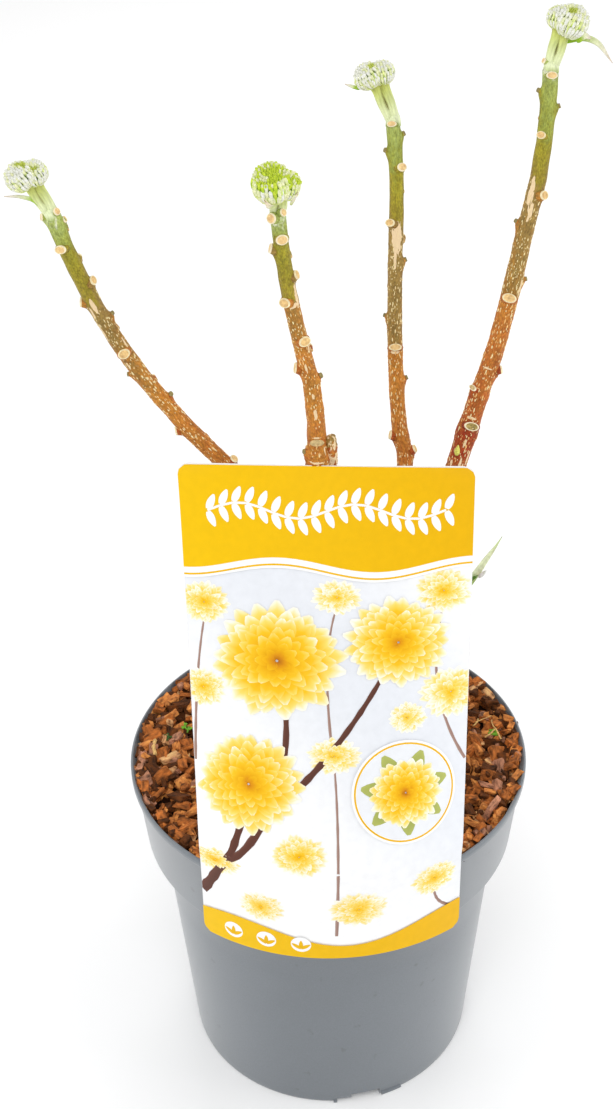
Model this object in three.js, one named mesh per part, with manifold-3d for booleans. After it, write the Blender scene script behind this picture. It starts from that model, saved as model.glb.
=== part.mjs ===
// A paperbush in its nursery pot, leafless, with four stems that each carry a head of silky buds.
// Millimetres, +Z up. The origin is the middle of the pot's underside, and the printed card faces -Y.

import * as THREE from "three";
import { mergeVertices } from "three/addons/utils/BufferGeometryUtils.js";
import Module from "manifold-3d";

const wasm = await Module();
wasm.setup();

// Neighbouring pieces stay this far apart.
const GAP = 0.3;

// The pot, a thin moulded container with a wide collar above a narrower body.
const POT_HEIGHT = 173.5;
const POT_WALL = 1.4;
const POT_BASE = 2.2;
const POT_FOOT_RADIUS = 71.2;
const POT_FOOT_ROUND = 1.2;
const BODY_TOP_RADIUS = 82.4;
const COLLAR_DEPTH = 42.4;
const COLLAR_FOOT_RADIUS = 89.8;
const COLLAR_TOP_RADIUS = 93.5;
const LIP_RADIUS = 95.3;
const LIP_BORE_RADIUS = 93.2;
const LIP_DEPTH = 4.6;
const LIP_EDGE = 0.9;
const POT_SIDES = 40;

// The drain notches cut up into the foot.
const NOTCH_COUNT = 3;
const NOTCH_FIRST_ANGLE = 14;
const NOTCH_WIDTH = 15;
const NOTCH_HEIGHT = 5;
const NOTCH_DEPTH = 6;

// The bark-topped growing mix.
const MIX_LEVEL = 166.6;
const MIX_LUMP = 1.1;
const MIX_FLAT_RADIUS = 24;
const MIX_RINGS = 5;
const MIX_SIDES = 28;
const CHIP_COUNT = 24;
const CHIP_LENGTH = [6, 11];
const CHIP_WIDTH = [4, 7];
const CHIP_THICKNESS = [2, 3.5];
const CHIP_REACH = 84;

// Limbs.
const LIMB_SIDES = 8;
const LIMB_STEP = 11;
const TRUNK_FOOT_RADIUS = 9.3;
const TRUNK_TOP_RADIUS = 5.3;
const ROOT_FLARE = 5;
const ROOT_FLARE_HEIGHT = 7;
const TRUNK_SUNK = 5;
const KNUCKLE = 0.7;
const KNUCKLE_HEIGHT = 6.5;
const STUB_RADIUS = 2.1;
const PEG_RADIUS = 1.75;
const PEG_FACE_RADIUS = 1.9;
const PEG_STAND = 1.5;
const PEG_SIDES = 5;
const PEG_RISE = 0.35;

// Bud heads: the buds lie up the sides of a dome in rings, and this is how thick they are and
// the latitudes on the dome, in degrees, that the foot and the tip of a bud have in each ring. The
// stalks' distances from the axis are given at the stem, halfway and in the dome.
const BUD_RADIUS = 1.5;
const BUD_SIDES = 3;
const BUD_LATITUDES = [
  [-62, -6],
  [-28, 30],
  [8, 56],
  [40, 76],
];
const DOME_SHARE = 0.74;
const BUD_FOOT_SHARE = 0.68;
const PEDUNCLE_RADIUS = 1.7;
const STALKS_APART = [0.8, 1.7, 1.8];
const BRACT_THICKNESS = 0.7;

// The printed card, which hooks over the lip, hangs round the collar and leans back on the stems.
const CARD_WIDTH = 125.4;
const CARD_LENGTH = 232.4;
const CARD_THICKNESS = 0.6;
const CARD_HANG = 41.3;
const CARD_RADIUS = 96;
const CARD_LEAN = 23.7;
const CARD_TURN_LENGTH = 20;
const CARD_SWING = 0.56;
const CARD_TWIST = -3.25;
const CARD_CORNER = 5;
const CARD_CORNER_STEP = 0.3;
const CARD_COLUMNS = 10;
const CARD_ROWS = 16;
const HOOK_WIDTH = 14;
const HOOK_DROP = 4.5;
const HOOK_INSET = 2;

// The leading stem, from the flat cut at the top of the mix to the fork where it was pruned.
const TRUNK_PATH = [
  [3, 6.4, MIX_LEVEL - TRUNK_SUNK],
  [3, 2.5, 205],
  [1.6, -5, 262],
  [0.2, -12.5, 315],
  [-0.9, -17.6, 345],
];

// The pruned spur beside the front stem, on top of the trunk.
const STUB_PATH = [
  [1.8, -17.2, 340],
  [3.1, -19, 350],
  [3.3, -21.4, 363],
];

// The four long stems. A peg is a leaf scar that stands out of the stem: its distance down from the
// stem's tip, then the side it is on in degrees, 0 in front, 90 on the right and 180 behind.
const BOUGHS = {
  bough_left: {
    path: [
      [1.2, -8, 273],
      [-15.5, -8, 304],
      [-43.5, -8, 342],
      [-58, -11, 362],
      [-75, -16, 390.5],
      [-86.5, -20, 415],
      [-96, -25, 442],
      [-102.5, -30, 467.5],
    ],
    footRadius: 4.6,
    middleRadius: 3.4,
    tipRadius: 3.1,
    pegs: [
      [2, -80],
      [6, 95],
      [11, 170],
      [16, -15],
      [26, 160],
      [36, 85],
      [44, -90],
      [54, 95],
      [62, 185],
      [71, 10],
      [83, -90],
      [92, 175],
      [101, 90],
      [118, -90],
      [130, 180],
      [145, 90],
    ],
  },
  bough_front: {
    path: [
      [-2.8, -18.6, 346.2],
      [-3, -20.5, 358],
      [-4.8, -25, 386.5],
      [-8.8, -29, 409],
      [-13.4, -34, 436.5],
      [-15.4, -37, 454.8],
      [-16.6, -40, 470.4],
    ],
    footRadius: 4.1,
    middleRadius: 3.2,
    tipRadius: 2.9,
    pegs: [
      [2, -75],
      [3, 70],
      [12, 12],
      [17, -90],
      [22, 170],
      [30, 85],
      [40, -30],
      [50, 185],
      [60, 30],
      [68, 160],
      [75, -90],
      [81, 90],
      [98, 180],
      [112, 0],
      [120, -80],
    ],
  },
  bough_back: {
    path: [
      [2, -3, 247],
      [15, 2, 268],
      [29.5, 8, 296],
      [35.3, 12, 327],
      [32.5, 16, 347.7],
      [30.7, 23, 378.4],
      [30.6, 31, 417],
      [31, 39, 449],
      [29.4, 44, 473],
    ],
    footRadius: 4.3,
    middleRadius: 3.3,
    tipRadius: 2.9,
    pegs: [
      [2, -10],
      [7, 90],
      [13, -80],
      [20, 35],
      [30, 170],
      [43, -40],
      [50, 150],
      [59, 90],
      [70, 190],
      [83, -90],
      [96, 0],
      [102, 180],
      [111, 90],
      [125, 170],
      [136, -85],
      [144, 85],
    ],
  },
  bough_right: {
    path: [
      [2.5, -1, 228],
      [21, -2, 254],
      [41, -1, 289],
      [53.5, 1, 322],
      [58.7, 3, 339],
      [64.9, 5, 362.6],
      [71.4, 8, 384],
      [77.9, 13, 411.2],
      [83.5, 18, 439],
      [87, 21, 455],
      [89.3, 24, 474],
      [90.5, 27, 501],
    ],
    footRadius: 5.8,
    middleRadius: 4.1,
    tipRadius: 3.1,
    pegs: [
      [2, -80],
      [4, 5],
      [11, -90],
      [17, 88],
      [22, 180],
      [28, -30],
      [40, 170],
      [52, 45],
      [65, -90],
      [76, 185],
      [88, 90],
      [96, -10],
      [110, 175],
      [128, 90],
      [138, -60],
      [146, 180],
      [154, 0],
      [167, -30],
    ],
  },
};

// The bud heads. The dome's middle and its half widths across and along its axis, how many buds are
// in each ring, and the middle line and width of the leaf-like bract under the dome.
const HEADS = {
  head_left: {
    bough: "bough_left",
    centre: [-110.3, -32, 482.6],
    across: 8.5,
    along: 6.9,
    rings: [10, 9, 5],
    bract: {
      path: [
        [-106, -31, 474],
        [-112, -32.5, 473.6],
        [-119.4, -33, 475.6],
      ],
      width: 2.4,
    },
  },
  head_front: {
    bough: "bough_front",
    centre: [-17.2, -42.5, 482.8],
    across: 9.3,
    along: 8.3,
    rings: [11, 10, 8, 4],
    bract: {
      path: [
        [-17, -41.5, 475.5],
        [-21, -44.5, 474.5],
        [-25, -47, 477],
      ],
      width: 2.2,
    },
  },
  head_back: {
    bough: "bough_back",
    centre: [22.2, 46, 491.6],
    across: 8.2,
    along: 6.5,
    rings: [10, 9, 5],
    bract: {
      path: [
        [26, 45, 482],
        [17.5, 44.5, 484],
        [9.8, 44, 488.6],
      ],
      width: 2,
    },
  },
  head_right: {
    bough: "bough_right",
    centre: [96.3, 29, 517.3],
    across: 8.9,
    along: 7.5,
    rings: [11, 9, 5],
    bract: {
      path: [
        [95, 28.4, 510],
        [102, 28, 511.8],
        [107.5, 27.4, 510],
        [114.3, 26, 502.2],
      ],
      width: 2.8,
    },
  },
};

// The young shoot low on the trunk, with its leaves.
const SHOOT_PATH = [
  [4, 2, 206],
  [22, 3, 217],
  [46, 6, 237],
  [61, 8, 257],
];
const SHOOT_RADIUS = 1.3;
const SHOOT_LEAVES = [
  { path: [[59, 8, 254.5], [71.5, 7.5, 272], [79.3, 7, 292]], width: 4.6, thickness: 0.8 },
  { path: [[59, 8, 254.5], [70.5, 12, 262], [83, 17, 266]], width: 4, thickness: 0.8 },
  { path: [[58, 8, 253], [61, 12, 266], [60, 15, 279]], width: 3.6, thickness: 0.8 },
];

// Numbers between 0 and 1 that look random and are the same in every run.
function dice(seed) {
  let state = seed;
  return (low = 0, high = 1) => {
    state = (Math.imul(state, 1664525) + 1013904223) >>> 0;
    return low + ((high - low) * state) / 2 ** 32;
  };
}

// A closed geometry as a solid that can be joined and cut.
function solid(geometry) {
  const bare = geometry.clone();
  bare.deleteAttribute("normal");
  bare.deleteAttribute("uv");
  const merged = mergeVertices(bare, 1e-4);
  const kept = [];
  const index = merged.index.array;
  for (let i = 0; i < index.length; i += 3) {
    const [a, b, c] = index.slice(i, i + 3);
    if (a !== b && b !== c && c !== a) kept.push(a, b, c);
  }
  return new wasm.Manifold(
    new wasm.Mesh({
      numProp: 3,
      vertProperties: new Float32Array(merged.attributes.position.array),
      triVerts: new Uint32Array(kept),
    }),
  );
}

// A solid as a named mesh with its own material.
function piece(name, body, color, roughness) {
  const made = body.getMesh();
  const geometry = new THREE.BufferGeometry();
  geometry.setAttribute("position", new THREE.BufferAttribute(new Float32Array(made.vertProperties), 3));
  geometry.setIndex(new THREE.BufferAttribute(new Uint32Array(made.triVerts), 1));
  geometry.computeVertexNormals();
  const material = new THREE.MeshStandardMaterial({ color, roughness, metalness: 0 });
  const mesh = new THREE.Mesh(geometry, material);
  mesh.name = name;
  return mesh;
}

function joined(solids) {
  return solids.reduce((whole, next) => whole.add(next));
}

// A turned shape that stands on the Z axis, from pairs of radius and height.
function turned(pairs, sides) {
  const profile = pairs.map(([radius, height]) => new THREE.Vector2(radius, height));
  return new THREE.LatheGeometry(profile, sides).rotateX(Math.PI / 2);
}

// The directions at a point of a path: along it, towards its front and towards its right.
function directions(path, share) {
  const along = path.getTangentAt(share);
  const front = new THREE.Vector3(0, -1, 0).addScaledVector(along, along.y).normalize();
  const right = new THREE.Vector3().crossVectors(along, front);
  return { at: path.getPointAt(share), along, front, right };
}

function pathThrough(points) {
  return new THREE.CatmullRomCurve3(points.map((p) => new THREE.Vector3(...p)), false, "centripetal");
}

// A round limb turned straight and then bent along its path. radiusAt takes the distance from the
// foot and the whole length. A flatness under 1 presses it into a blade.
function limb(path, radiusAt, { sides = LIMB_SIDES, step = LIMB_STEP, flatness = 1 } = {}) {
  const length = path.getLength();
  const rings = Math.max(4, Math.round(length / step));
  const profile = [new THREE.Vector2(0, 0)];
  for (let ring = 0; ring <= rings; ring++) {
    const height = (ring / rings) * length;
    profile.push(new THREE.Vector2(radiusAt(height, length), height));
  }
  profile.push(new THREE.Vector2(0, length));
  const geometry = new THREE.LatheGeometry(profile, sides);
  const place = geometry.attributes.position;
  for (let i = 0; i < place.count; i++) {
    const share = THREE.MathUtils.clamp(place.getY(i) / length, 0, 1);
    const { at, front, right } = directions(path, share);
    at.addScaledVector(right, place.getX(i)).addScaledVector(front, place.getZ(i) * flatness);
    place.setXYZ(i, at.x, at.y, at.z);
  }
  return solid(geometry);
}

// A shape made upright on the Z axis, stood at a point with its axis along a direction.
function stood(geometry, at, direction) {
  const turn = new THREE.Quaternion().setFromUnitVectors(new THREE.Vector3(0, 0, 1), direction.clone().normalize());
  return geometry.applyQuaternion(turn).translate(at.x, at.y, at.z);
}

function pot() {
  const collarFoot = POT_HEIGHT - COLLAR_DEPTH;
  const lipFoot = POT_HEIGHT - LIP_DEPTH;
  const lipMiddle = (LIP_RADIUS + LIP_BORE_RADIUS) / 2;
  const shell = solid(
    turned(
      [
        [0, 0],
        [POT_FOOT_RADIUS - POT_FOOT_ROUND, 0],
        [POT_FOOT_RADIUS, POT_FOOT_ROUND],
        [BODY_TOP_RADIUS, collarFoot],
        [COLLAR_FOOT_RADIUS - POT_FOOT_ROUND, collarFoot],
        [COLLAR_FOOT_RADIUS, collarFoot + POT_FOOT_ROUND],
        [COLLAR_TOP_RADIUS, lipFoot],
        [LIP_RADIUS - LIP_EDGE / 2, lipFoot],
        [LIP_RADIUS, lipFoot + LIP_EDGE],
        [LIP_RADIUS, POT_HEIGHT - LIP_EDGE],
        [lipMiddle, POT_HEIGHT],
        [LIP_BORE_RADIUS, POT_HEIGHT - LIP_EDGE],
        [COLLAR_TOP_RADIUS - POT_WALL, lipFoot - LIP_EDGE],
        [COLLAR_FOOT_RADIUS - POT_WALL, collarFoot + POT_WALL],
        [BODY_TOP_RADIUS - POT_WALL, collarFoot + POT_WALL],
        [POT_FOOT_RADIUS - POT_WALL, POT_BASE],
        [0, POT_BASE],
      ],
      POT_SIDES,
    ),
  );
  let cut = shell;
  for (let n = 0; n < NOTCH_COUNT; n++) {
    const angle = THREE.MathUtils.degToRad(NOTCH_FIRST_ANGLE + (n * 360) / NOTCH_COUNT);
    const notch = new THREE.BoxGeometry(NOTCH_WIDTH, 2 * NOTCH_DEPTH, 2 * NOTCH_HEIGHT);
    notch.translate(0, -POT_FOOT_RADIUS, 0).rotateZ(angle);
    cut = cut.subtract(solid(notch));
  }
  return cut;
}

// The growing mix fills the pot, with a lumpy top that is level round the trunk, and bark chips on it.
function growingMix() {
  const roll = dice(7);
  const collarFoot = POT_HEIGHT - COLLAR_DEPTH;
  const inside = POT_WALL + GAP;
  const rimShare = (MIX_LEVEL - collarFoot) / COLLAR_DEPTH;
  const rimRadius = THREE.MathUtils.lerp(COLLAR_FOOT_RADIUS, COLLAR_TOP_RADIUS, rimShare) - inside - GAP;
  const outline = [
    [0, POT_BASE + GAP],
    [POT_FOOT_RADIUS - inside - GAP, POT_BASE + GAP],
    [BODY_TOP_RADIUS - inside, collarFoot + POT_WALL - GAP],
    [BODY_TOP_RADIUS - inside, collarFoot + inside],
    [COLLAR_FOOT_RADIUS - inside, collarFoot + inside],
  ];
  for (let ring = 0; ring < MIX_RINGS; ring++) {
    const radius = THREE.MathUtils.lerp(rimRadius, MIX_FLAT_RADIUS, ring / (MIX_RINGS - 1));
    outline.push([radius, MIX_LEVEL]);
  }
  outline.push([0, MIX_LEVEL]);
  const fill = turned(outline, MIX_SIDES);
  const place = fill.attributes.position;
  for (let i = 0; i < place.count; i++) {
    const [x, y, z] = [place.getX(i), place.getY(i), place.getZ(i)];
    const radius = Math.hypot(x, y);
    if (z > MIX_LEVEL - 0.1 && radius > MIX_FLAT_RADIUS + 1) {
      const lump = Math.sin(0.21 * x + 1.3) * Math.cos(0.17 * y - 0.4) + 0.5 * Math.sin(0.41 * x - 0.33 * y);
      place.setZ(i, MIX_LEVEL + (MIX_LUMP * lump) / 1.5);
    }
  }
  const parts = [solid(fill)];
  for (let n = 0; n < CHIP_COUNT; n++) {
    const angle = n * THREE.MathUtils.degToRad(137.5);
    const spread = Math.sqrt((n + 0.5) / CHIP_COUNT);
    const radius = THREE.MathUtils.lerp(MIX_FLAT_RADIUS + 6, CHIP_REACH, spread);
    const chip = new THREE.BoxGeometry(roll(...CHIP_LENGTH), roll(...CHIP_WIDTH), roll(...CHIP_THICKNESS));
    chip.rotateX(roll(-0.3, 0.3)).rotateY(roll(-0.3, 0.3)).rotateZ(roll(0, Math.PI));
    chip.translate(radius * Math.sin(angle), -radius * Math.cos(angle), MIX_LEVEL + 1);
    parts.push(solid(chip));
  }
  return joined(parts);
}

// The trunk flares where it enters the mix, and its top is a little swollen at the pruned fork.
// Its foot is cut off level, just clear of the mix.
function trunk(extra = 0) {
  const radiusAt = (height, length) => {
    const taper = THREE.MathUtils.lerp(TRUNK_FOOT_RADIUS, TRUNK_TOP_RADIUS, height / length);
    const flare = ROOT_FLARE * Math.exp((TRUNK_SUNK - height) / ROOT_FLARE_HEIGHT);
    const knuckle = KNUCKLE * Math.exp(-(((length - KNUCKLE_HEIGHT - height) / KNUCKLE_HEIGHT) ** 2));
    return taper + flare + knuckle + extra;
  };
  const below = new THREE.BoxGeometry(100, 100, 100).translate(0, 0, MIX_LEVEL + GAP - 50);
  return limb(pathThrough(TRUNK_PATH), radiusAt, { sides: 12, step: 7 }).subtract(solid(below));
}

function stub(extra = 0) {
  const radiusAt = (height, length) => STUB_RADIUS + extra - (height > length - 1 ? 0.25 : 0);
  return limb(pathThrough(STUB_PATH), radiusAt, { step: 4 });
}

// One short peg with a flat face, which is where a leaf stalk was.
function peg(path, length, radiusAt, [fromTip, side], extra) {
  const share = 1 - fromTip / length;
  const { at, along, front, right } = directions(path, share);
  const angle = THREE.MathUtils.degToRad(side);
  const out = front.multiplyScalar(Math.cos(angle)).addScaledVector(right, Math.sin(angle));
  const lean = out.clone().addScaledVector(along, PEG_RISE).normalize();
  const reach = radiusAt(share * length) + PEG_STAND;
  const shape = new THREE.CylinderGeometry(PEG_FACE_RADIUS + extra, PEG_RADIUS + extra, reach, PEG_SIDES);
  shape.rotateX(Math.PI / 2).translate(0, 0, reach / 2);
  return solid(stood(shape, at, lean));
}

// A stem tapers from its foot to its tip, and its pegs are part of it.
function bough({ path: points, footRadius, middleRadius, tipRadius, pegs }, extra = 0) {
  const path = pathThrough(points);
  const length = path.getLength();
  const radiusAt = (height) => {
    const share = height / length;
    const lower = THREE.MathUtils.lerp(footRadius, middleRadius, share * 2);
    const upper = THREE.MathUtils.lerp(middleRadius, tipRadius, share * 2 - 1);
    return (share < 0.5 ? lower : upper) + extra;
  };
  const parts = [limb(path, radiusAt)];
  pegs.forEach((entry) => parts.push(peg(path, length, radiusAt, entry, extra)));
  return joined(parts);
}

// A bud is a spindle that swells above its foot and ends in a blunt tip.
function bud(from, to, radius) {
  const direction = to.clone().sub(from);
  const length = direction.length();
  const shape = turned(
    [
      [0, 0],
      [0.6 * radius, 0],
      [radius, 0.6 * length],
      [0, length],
    ],
    BUD_SIDES,
  );
  return solid(stood(shape, from, direction));
}

// The head's dome stands on two stalks that leave the stem side by side, and buds cover the dome.
function head({ bough: name, centre, across, along, rings, bract }) {
  const stem = pathThrough(BOUGHS[name].path);
  const tip = stem.getPointAt(1);
  const tipAlong = stem.getTangentAt(1);
  const middle = new THREE.Vector3(...centre);
  const axis = middle.clone().sub(tip).normalize();
  const right = new THREE.Vector3(1, 0, 0).addScaledVector(axis, -axis.x).normalize();
  const back = new THREE.Vector3().crossVectors(axis, right);

  const core = new THREE.SphereGeometry(DOME_SHARE, 9, 6).rotateX(Math.PI / 2).scale(across, across, along);
  const parts = [solid(stood(core, middle, axis))];
  const foot = tip.clone().addScaledVector(tipAlong, GAP);
  [-1, 1].forEach((sideways) => {
    const start = tip.clone().addScaledVector(right, STALKS_APART[0] * sideways);
    const end = middle.clone().addScaledVector(right, STALKS_APART[2] * sideways);
    const bend = tip.clone().lerp(middle, 0.45).addScaledVector(right, STALKS_APART[1] * sideways);
    const stalk = pathThrough([start, bend, end].map((p) => p.toArray()));
    parts.push(limb(stalk, () => PEDUNCLE_RADIUS, { sides: 6, step: 5 }));
  });

  rings.forEach((count, ring) => {
    const onDome = (degrees, outward, share) => {
      const latitude = THREE.MathUtils.degToRad(degrees);
      const place = middle.clone().addScaledVector(outward, share * across * Math.cos(latitude));
      return place.addScaledVector(axis, share * along * Math.sin(latitude));
    };
    const [footLatitude, tipLatitude] = BUD_LATITUDES[ring];
    for (let n = 0; n < count; n++) {
      const turn = ((n + (ring % 2) / 2) * 2 * Math.PI) / count;
      const outward = right.clone().multiplyScalar(Math.cos(turn)).addScaledVector(back, Math.sin(turn));
      const from = onDome(footLatitude, outward, BUD_FOOT_SHARE);
      parts.push(bud(from, onDome(tipLatitude, outward, 1), BUD_RADIUS));
    }
  });

  parts.push(leaf(pathThrough(bract.path), bract.width, BRACT_THICKNESS));
  const under = new THREE.BoxGeometry(12, 12, 12).translate(0, 0, -6);
  const stemRoom = bough(BOUGHS[name], GAP).add(solid(stood(under, foot, tipAlong)));
  return joined(parts).subtract(stemRoom);
}

// A narrow leaf, widest a third of the way up and ending in a point.
function leaf(path, width, thickness) {
  const radiusAt = (height, length) => {
    const share = height / length;
    return (width / 2) * Math.min(1, Math.max(0.12, Math.sin(Math.PI * Math.min(1, 0.14 + 0.86 * share) ** 0.8)));
  };
  return limb(path, radiusAt, { sides: 6, step: 6, flatness: thickness / width });
}

function sideShoot() {
  const stem = limb(pathThrough(SHOOT_PATH), () => SHOOT_RADIUS, { sides: 6, step: 9 });
  const leaves = SHOOT_LEAVES.map(({ path, width, thickness }) => leaf(pathThrough(path), width, thickness));
  return joined([stem, ...leaves]);
}

// The middle line of the card in side view: upright while it hangs on the collar, then leaning back.
function cardSideView() {
  const steps = 240;
  const line = [{ y: -CARD_RADIUS, z: POT_HEIGHT - CARD_HANG, lean: 0 }];
  const stride = CARD_LENGTH / steps;
  for (let n = 1; n <= steps; n++) {
    const last = line[n - 1];
    const turn = THREE.MathUtils.smoothstep(n * stride, CARD_HANG + 2, CARD_HANG + 2 + CARD_TURN_LENGTH);
    const lean = THREE.MathUtils.degToRad(CARD_LEAN) * turn;
    line.push({ y: last.y + stride * Math.sin(lean), z: last.z + stride * Math.cos(lean), lean });
  }
  return (distance) => line[Math.round((distance / CARD_LENGTH) * steps)];
}

// A point of the card: across from its middle line, up from its foot, and out from its mid face.
function cardPoint(sideView, across, up, out) {
  const { y, z, lean } = sideView(up);
  const above = THREE.MathUtils.clamp((up - CARD_HANG - 2) / (CARD_LENGTH - CARD_HANG - 2), 0, 1);
  const bend = Math.max(Math.sqrt(1 - above) / CARD_RADIUS, 1e-5);
  const radius = 1 / bend + out;
  const sideways = radius * Math.sin(bend * across);
  const behind = 1 / bend - radius * Math.cos(bend * across);
  const point = new THREE.Vector3(sideways, behind * Math.cos(lean), -behind * Math.sin(lean));
  point.applyAxisAngle(new THREE.Vector3(0, 0, 1), THREE.MathUtils.degToRad(CARD_TWIST) * above);
  point.add(new THREE.Vector3(0, y, z));
  return point.applyAxisAngle(new THREE.Vector3(0, 0, 1), THREE.MathUtils.degToRad(CARD_SWING));
}

// The card's grid has two close rows at each end, where the corners are rounded off. This gives a
// row's height up the card.
function cardRowHeight(row) {
  const fromEnd = Math.min(row, CARD_ROWS - row);
  if (fromEnd < 2) {
    const near = fromEnd * CARD_CORNER_STEP * CARD_CORNER;
    return row < 2 ? near : CARD_LENGTH - near;
  }
  const plain = CARD_LENGTH - 2 * CARD_CORNER;
  return CARD_CORNER + (plain * (row - 2)) / (CARD_ROWS - 4);
}

// The card starts as a flat sheet, gets its round corners and is bent to its shape.
function card() {
  const sideView = cardSideView();
  const sheet = new THREE.BoxGeometry(
    CARD_WIDTH, CARD_LENGTH, CARD_THICKNESS, CARD_COLUMNS, CARD_ROWS, 1,
  );
  const place = sheet.attributes.position;
  for (let i = 0; i < place.count; i++) {
    const up = cardRowHeight(Math.round((place.getY(i) / CARD_LENGTH + 0.5) * CARD_ROWS));
    const short = Math.max(0, CARD_CORNER - Math.min(up, CARD_LENGTH - up));
    const inset = CARD_CORNER - Math.sqrt(CARD_CORNER ** 2 - short ** 2);
    const across = place.getX(i) * (1 - inset / (CARD_WIDTH / 2));
    const point = cardPoint(sideView, across, up, place.getZ(i));
    place.setXYZ(i, point.x, point.y, point.z);
  }
  return joined([solid(sheet), hook()]);
}

// The hook is a narrow tongue behind the card that passes over the lip and down inside the wall.
function hook() {
  const outside = -CARD_RADIUS + CARD_THICKNESS / 2 - 0.2;
  const inside = -(LIP_BORE_RADIUS - HOOK_INSET);
  const bottom = POT_HEIGHT + GAP;
  const outline = new THREE.Shape([
    new THREE.Vector2(outside, bottom),
    new THREE.Vector2(inside - CARD_THICKNESS, bottom),
    new THREE.Vector2(inside - CARD_THICKNESS, POT_HEIGHT - HOOK_DROP),
    new THREE.Vector2(inside, POT_HEIGHT - HOOK_DROP),
    new THREE.Vector2(inside, bottom + CARD_THICKNESS),
    new THREE.Vector2(outside, bottom + CARD_THICKNESS),
  ]);
  const tongue = new THREE.ExtrudeGeometry(outline, { depth: HOOK_WIDTH, bevelEnabled: false });
  tongue.translate(0, 0, -HOOK_WIDTH / 2).rotateX(Math.PI / 2).rotateZ(Math.PI / 2);
  return solid(tongue);
}

const plant = new THREE.Group();
plant.add(piece("pot", pot(), 0x8b9298, 0.55));
plant.add(piece("growing_mix", growingMix(), 0x8a4a22, 0.95));
plant.add(piece("trunk", trunk().add(stub()), 0x8a4f2c, 0.8));

const cleared = trunk(GAP).add(stub(GAP));
for (const [name, sizes] of Object.entries(BOUGHS)) {
  plant.add(piece(name, bough(sizes).subtract(cleared), 0x8a6a2e, 0.7));
}
for (const [name, sizes] of Object.entries(HEADS)) {
  plant.add(piece(name, head(sizes), 0xdfe8c0, 0.9));
}
plant.add(piece("side_shoot", sideShoot().subtract(cleared), 0x6f9a3a, 0.6));
plant.add(piece("card", card(), 0xf2c21a, 0.45));

export default plant;
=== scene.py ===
# A paperbush in its nursery pot, in winter: bare stems with silky bud heads, and a printed card.
import bisect
import math
import random

import bmesh
import bpy
import numpy as np
from mathutils import Matrix, Vector, geometry, noise


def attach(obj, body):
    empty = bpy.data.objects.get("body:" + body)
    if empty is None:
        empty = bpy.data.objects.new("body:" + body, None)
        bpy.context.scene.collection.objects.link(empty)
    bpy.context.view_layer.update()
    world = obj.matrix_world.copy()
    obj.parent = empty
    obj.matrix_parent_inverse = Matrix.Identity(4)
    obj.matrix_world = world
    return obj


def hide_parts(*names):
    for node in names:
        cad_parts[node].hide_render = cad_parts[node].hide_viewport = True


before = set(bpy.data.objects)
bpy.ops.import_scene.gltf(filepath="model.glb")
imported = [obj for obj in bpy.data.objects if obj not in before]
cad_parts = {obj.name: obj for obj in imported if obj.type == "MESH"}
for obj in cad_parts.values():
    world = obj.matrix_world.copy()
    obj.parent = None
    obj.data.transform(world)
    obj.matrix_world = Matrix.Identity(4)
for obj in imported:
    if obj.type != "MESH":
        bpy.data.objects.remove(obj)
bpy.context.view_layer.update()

scene = bpy.context.scene
scene.view_settings.view_transform = "Standard"


# The view looks down at the card side of the pot from well above the rim, through a normal lens.
# It is turned and rolled a little, as a camera held by hand is.
VIEW_PLACE = (0, -0.66164, 0.74772)
VIEW_DOWN, VIEW_TURN, VIEW_ROLL = 34.79, 0.711, -1.037
VIEW_LENS, VIEW_FILM = 58.43, 36

view = bpy.data.objects.new("view", bpy.data.cameras.new("view"))
view.data.lens = VIEW_LENS
view.data.sensor_width = VIEW_FILM
turn = Matrix.Rotation(math.radians(VIEW_TURN), 4, "Z")
nod = Matrix.Rotation(math.radians(90 - VIEW_DOWN), 4, "X")
roll = Matrix.Rotation(math.radians(VIEW_ROLL), 4, "Z")
view.matrix_world = Matrix.Translation(VIEW_PLACE) @ turn @ nod @ roll
scene.collection.objects.link(view)
scene.camera = view


# The studio is a wide white floor under an even white sky, with large soft lamps in front, at both
# sides and behind, so that every side is lit and the shadows stay faint.
FLOOR_REACH = 4
FLOOR_WHITE = 0.97
FLOOR_ROUGHNESS = 0.95
STUDIO_LIGHT = 1.1
SKY_STRENGTH = 0.68
LAMPS = {
    "key": ((-0.15, -1.3, 1.75), 1.0, 15),
    "left": ((-1.6, -0.1, 0.6), 1.2, 7),
    "right": ((1.6, -0.1, 0.6), 1.2, 9),
    "back": ((0.2, 1.6, 1.5), 1.4, 10),
}
LAMP_TARGET = Vector((0, 0, 0.25))


def finished(bm, name, materials, smooth=True):
    """The object made from a bmesh, with its place in its mesh."""
    mesh = bpy.data.meshes.new(name)
    bm.to_mesh(mesh)
    bm.free()
    for material in materials:
        mesh.materials.append(material)
    mesh.polygons.foreach_set("use_smooth", [smooth] * len(mesh.polygons))
    made = bpy.data.objects.new(name, mesh)
    scene.collection.objects.link(made)
    return made


bm = bmesh.new()
bmesh.ops.create_grid(bm, x_segments=1, y_segments=1, size=FLOOR_REACH)
floor_paint = bpy.data.materials.new("floor_paint")
floor_paint.use_nodes = True
shader = floor_paint.node_tree.nodes["Principled BSDF"]
shader.inputs["Base Color"].default_value = (*[FLOOR_WHITE] * 3, 1)
shader.inputs["Roughness"].default_value = FLOOR_ROUGHNESS
finished(bm, "floor", [floor_paint])

scene.world = bpy.data.worlds.new("studio")
scene.world.use_nodes = True
sky = scene.world.node_tree.nodes["Background"]
sky.inputs["Color"].default_value = (1, 1, 1, 1)
sky.inputs["Strength"].default_value = SKY_STRENGTH
for name, (place, width, power) in LAMPS.items():
    lamp = bpy.data.objects.new(name, bpy.data.lights.new(name, "AREA"))
    lamp.data.size = width
    lamp.data.energy = power
    lamp.location = place
    lamp.rotation_euler = (LAMP_TARGET - Vector(place)).to_track_quat("-Z", "Y").to_euler()
    scene.collection.objects.link(lamp)


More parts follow.
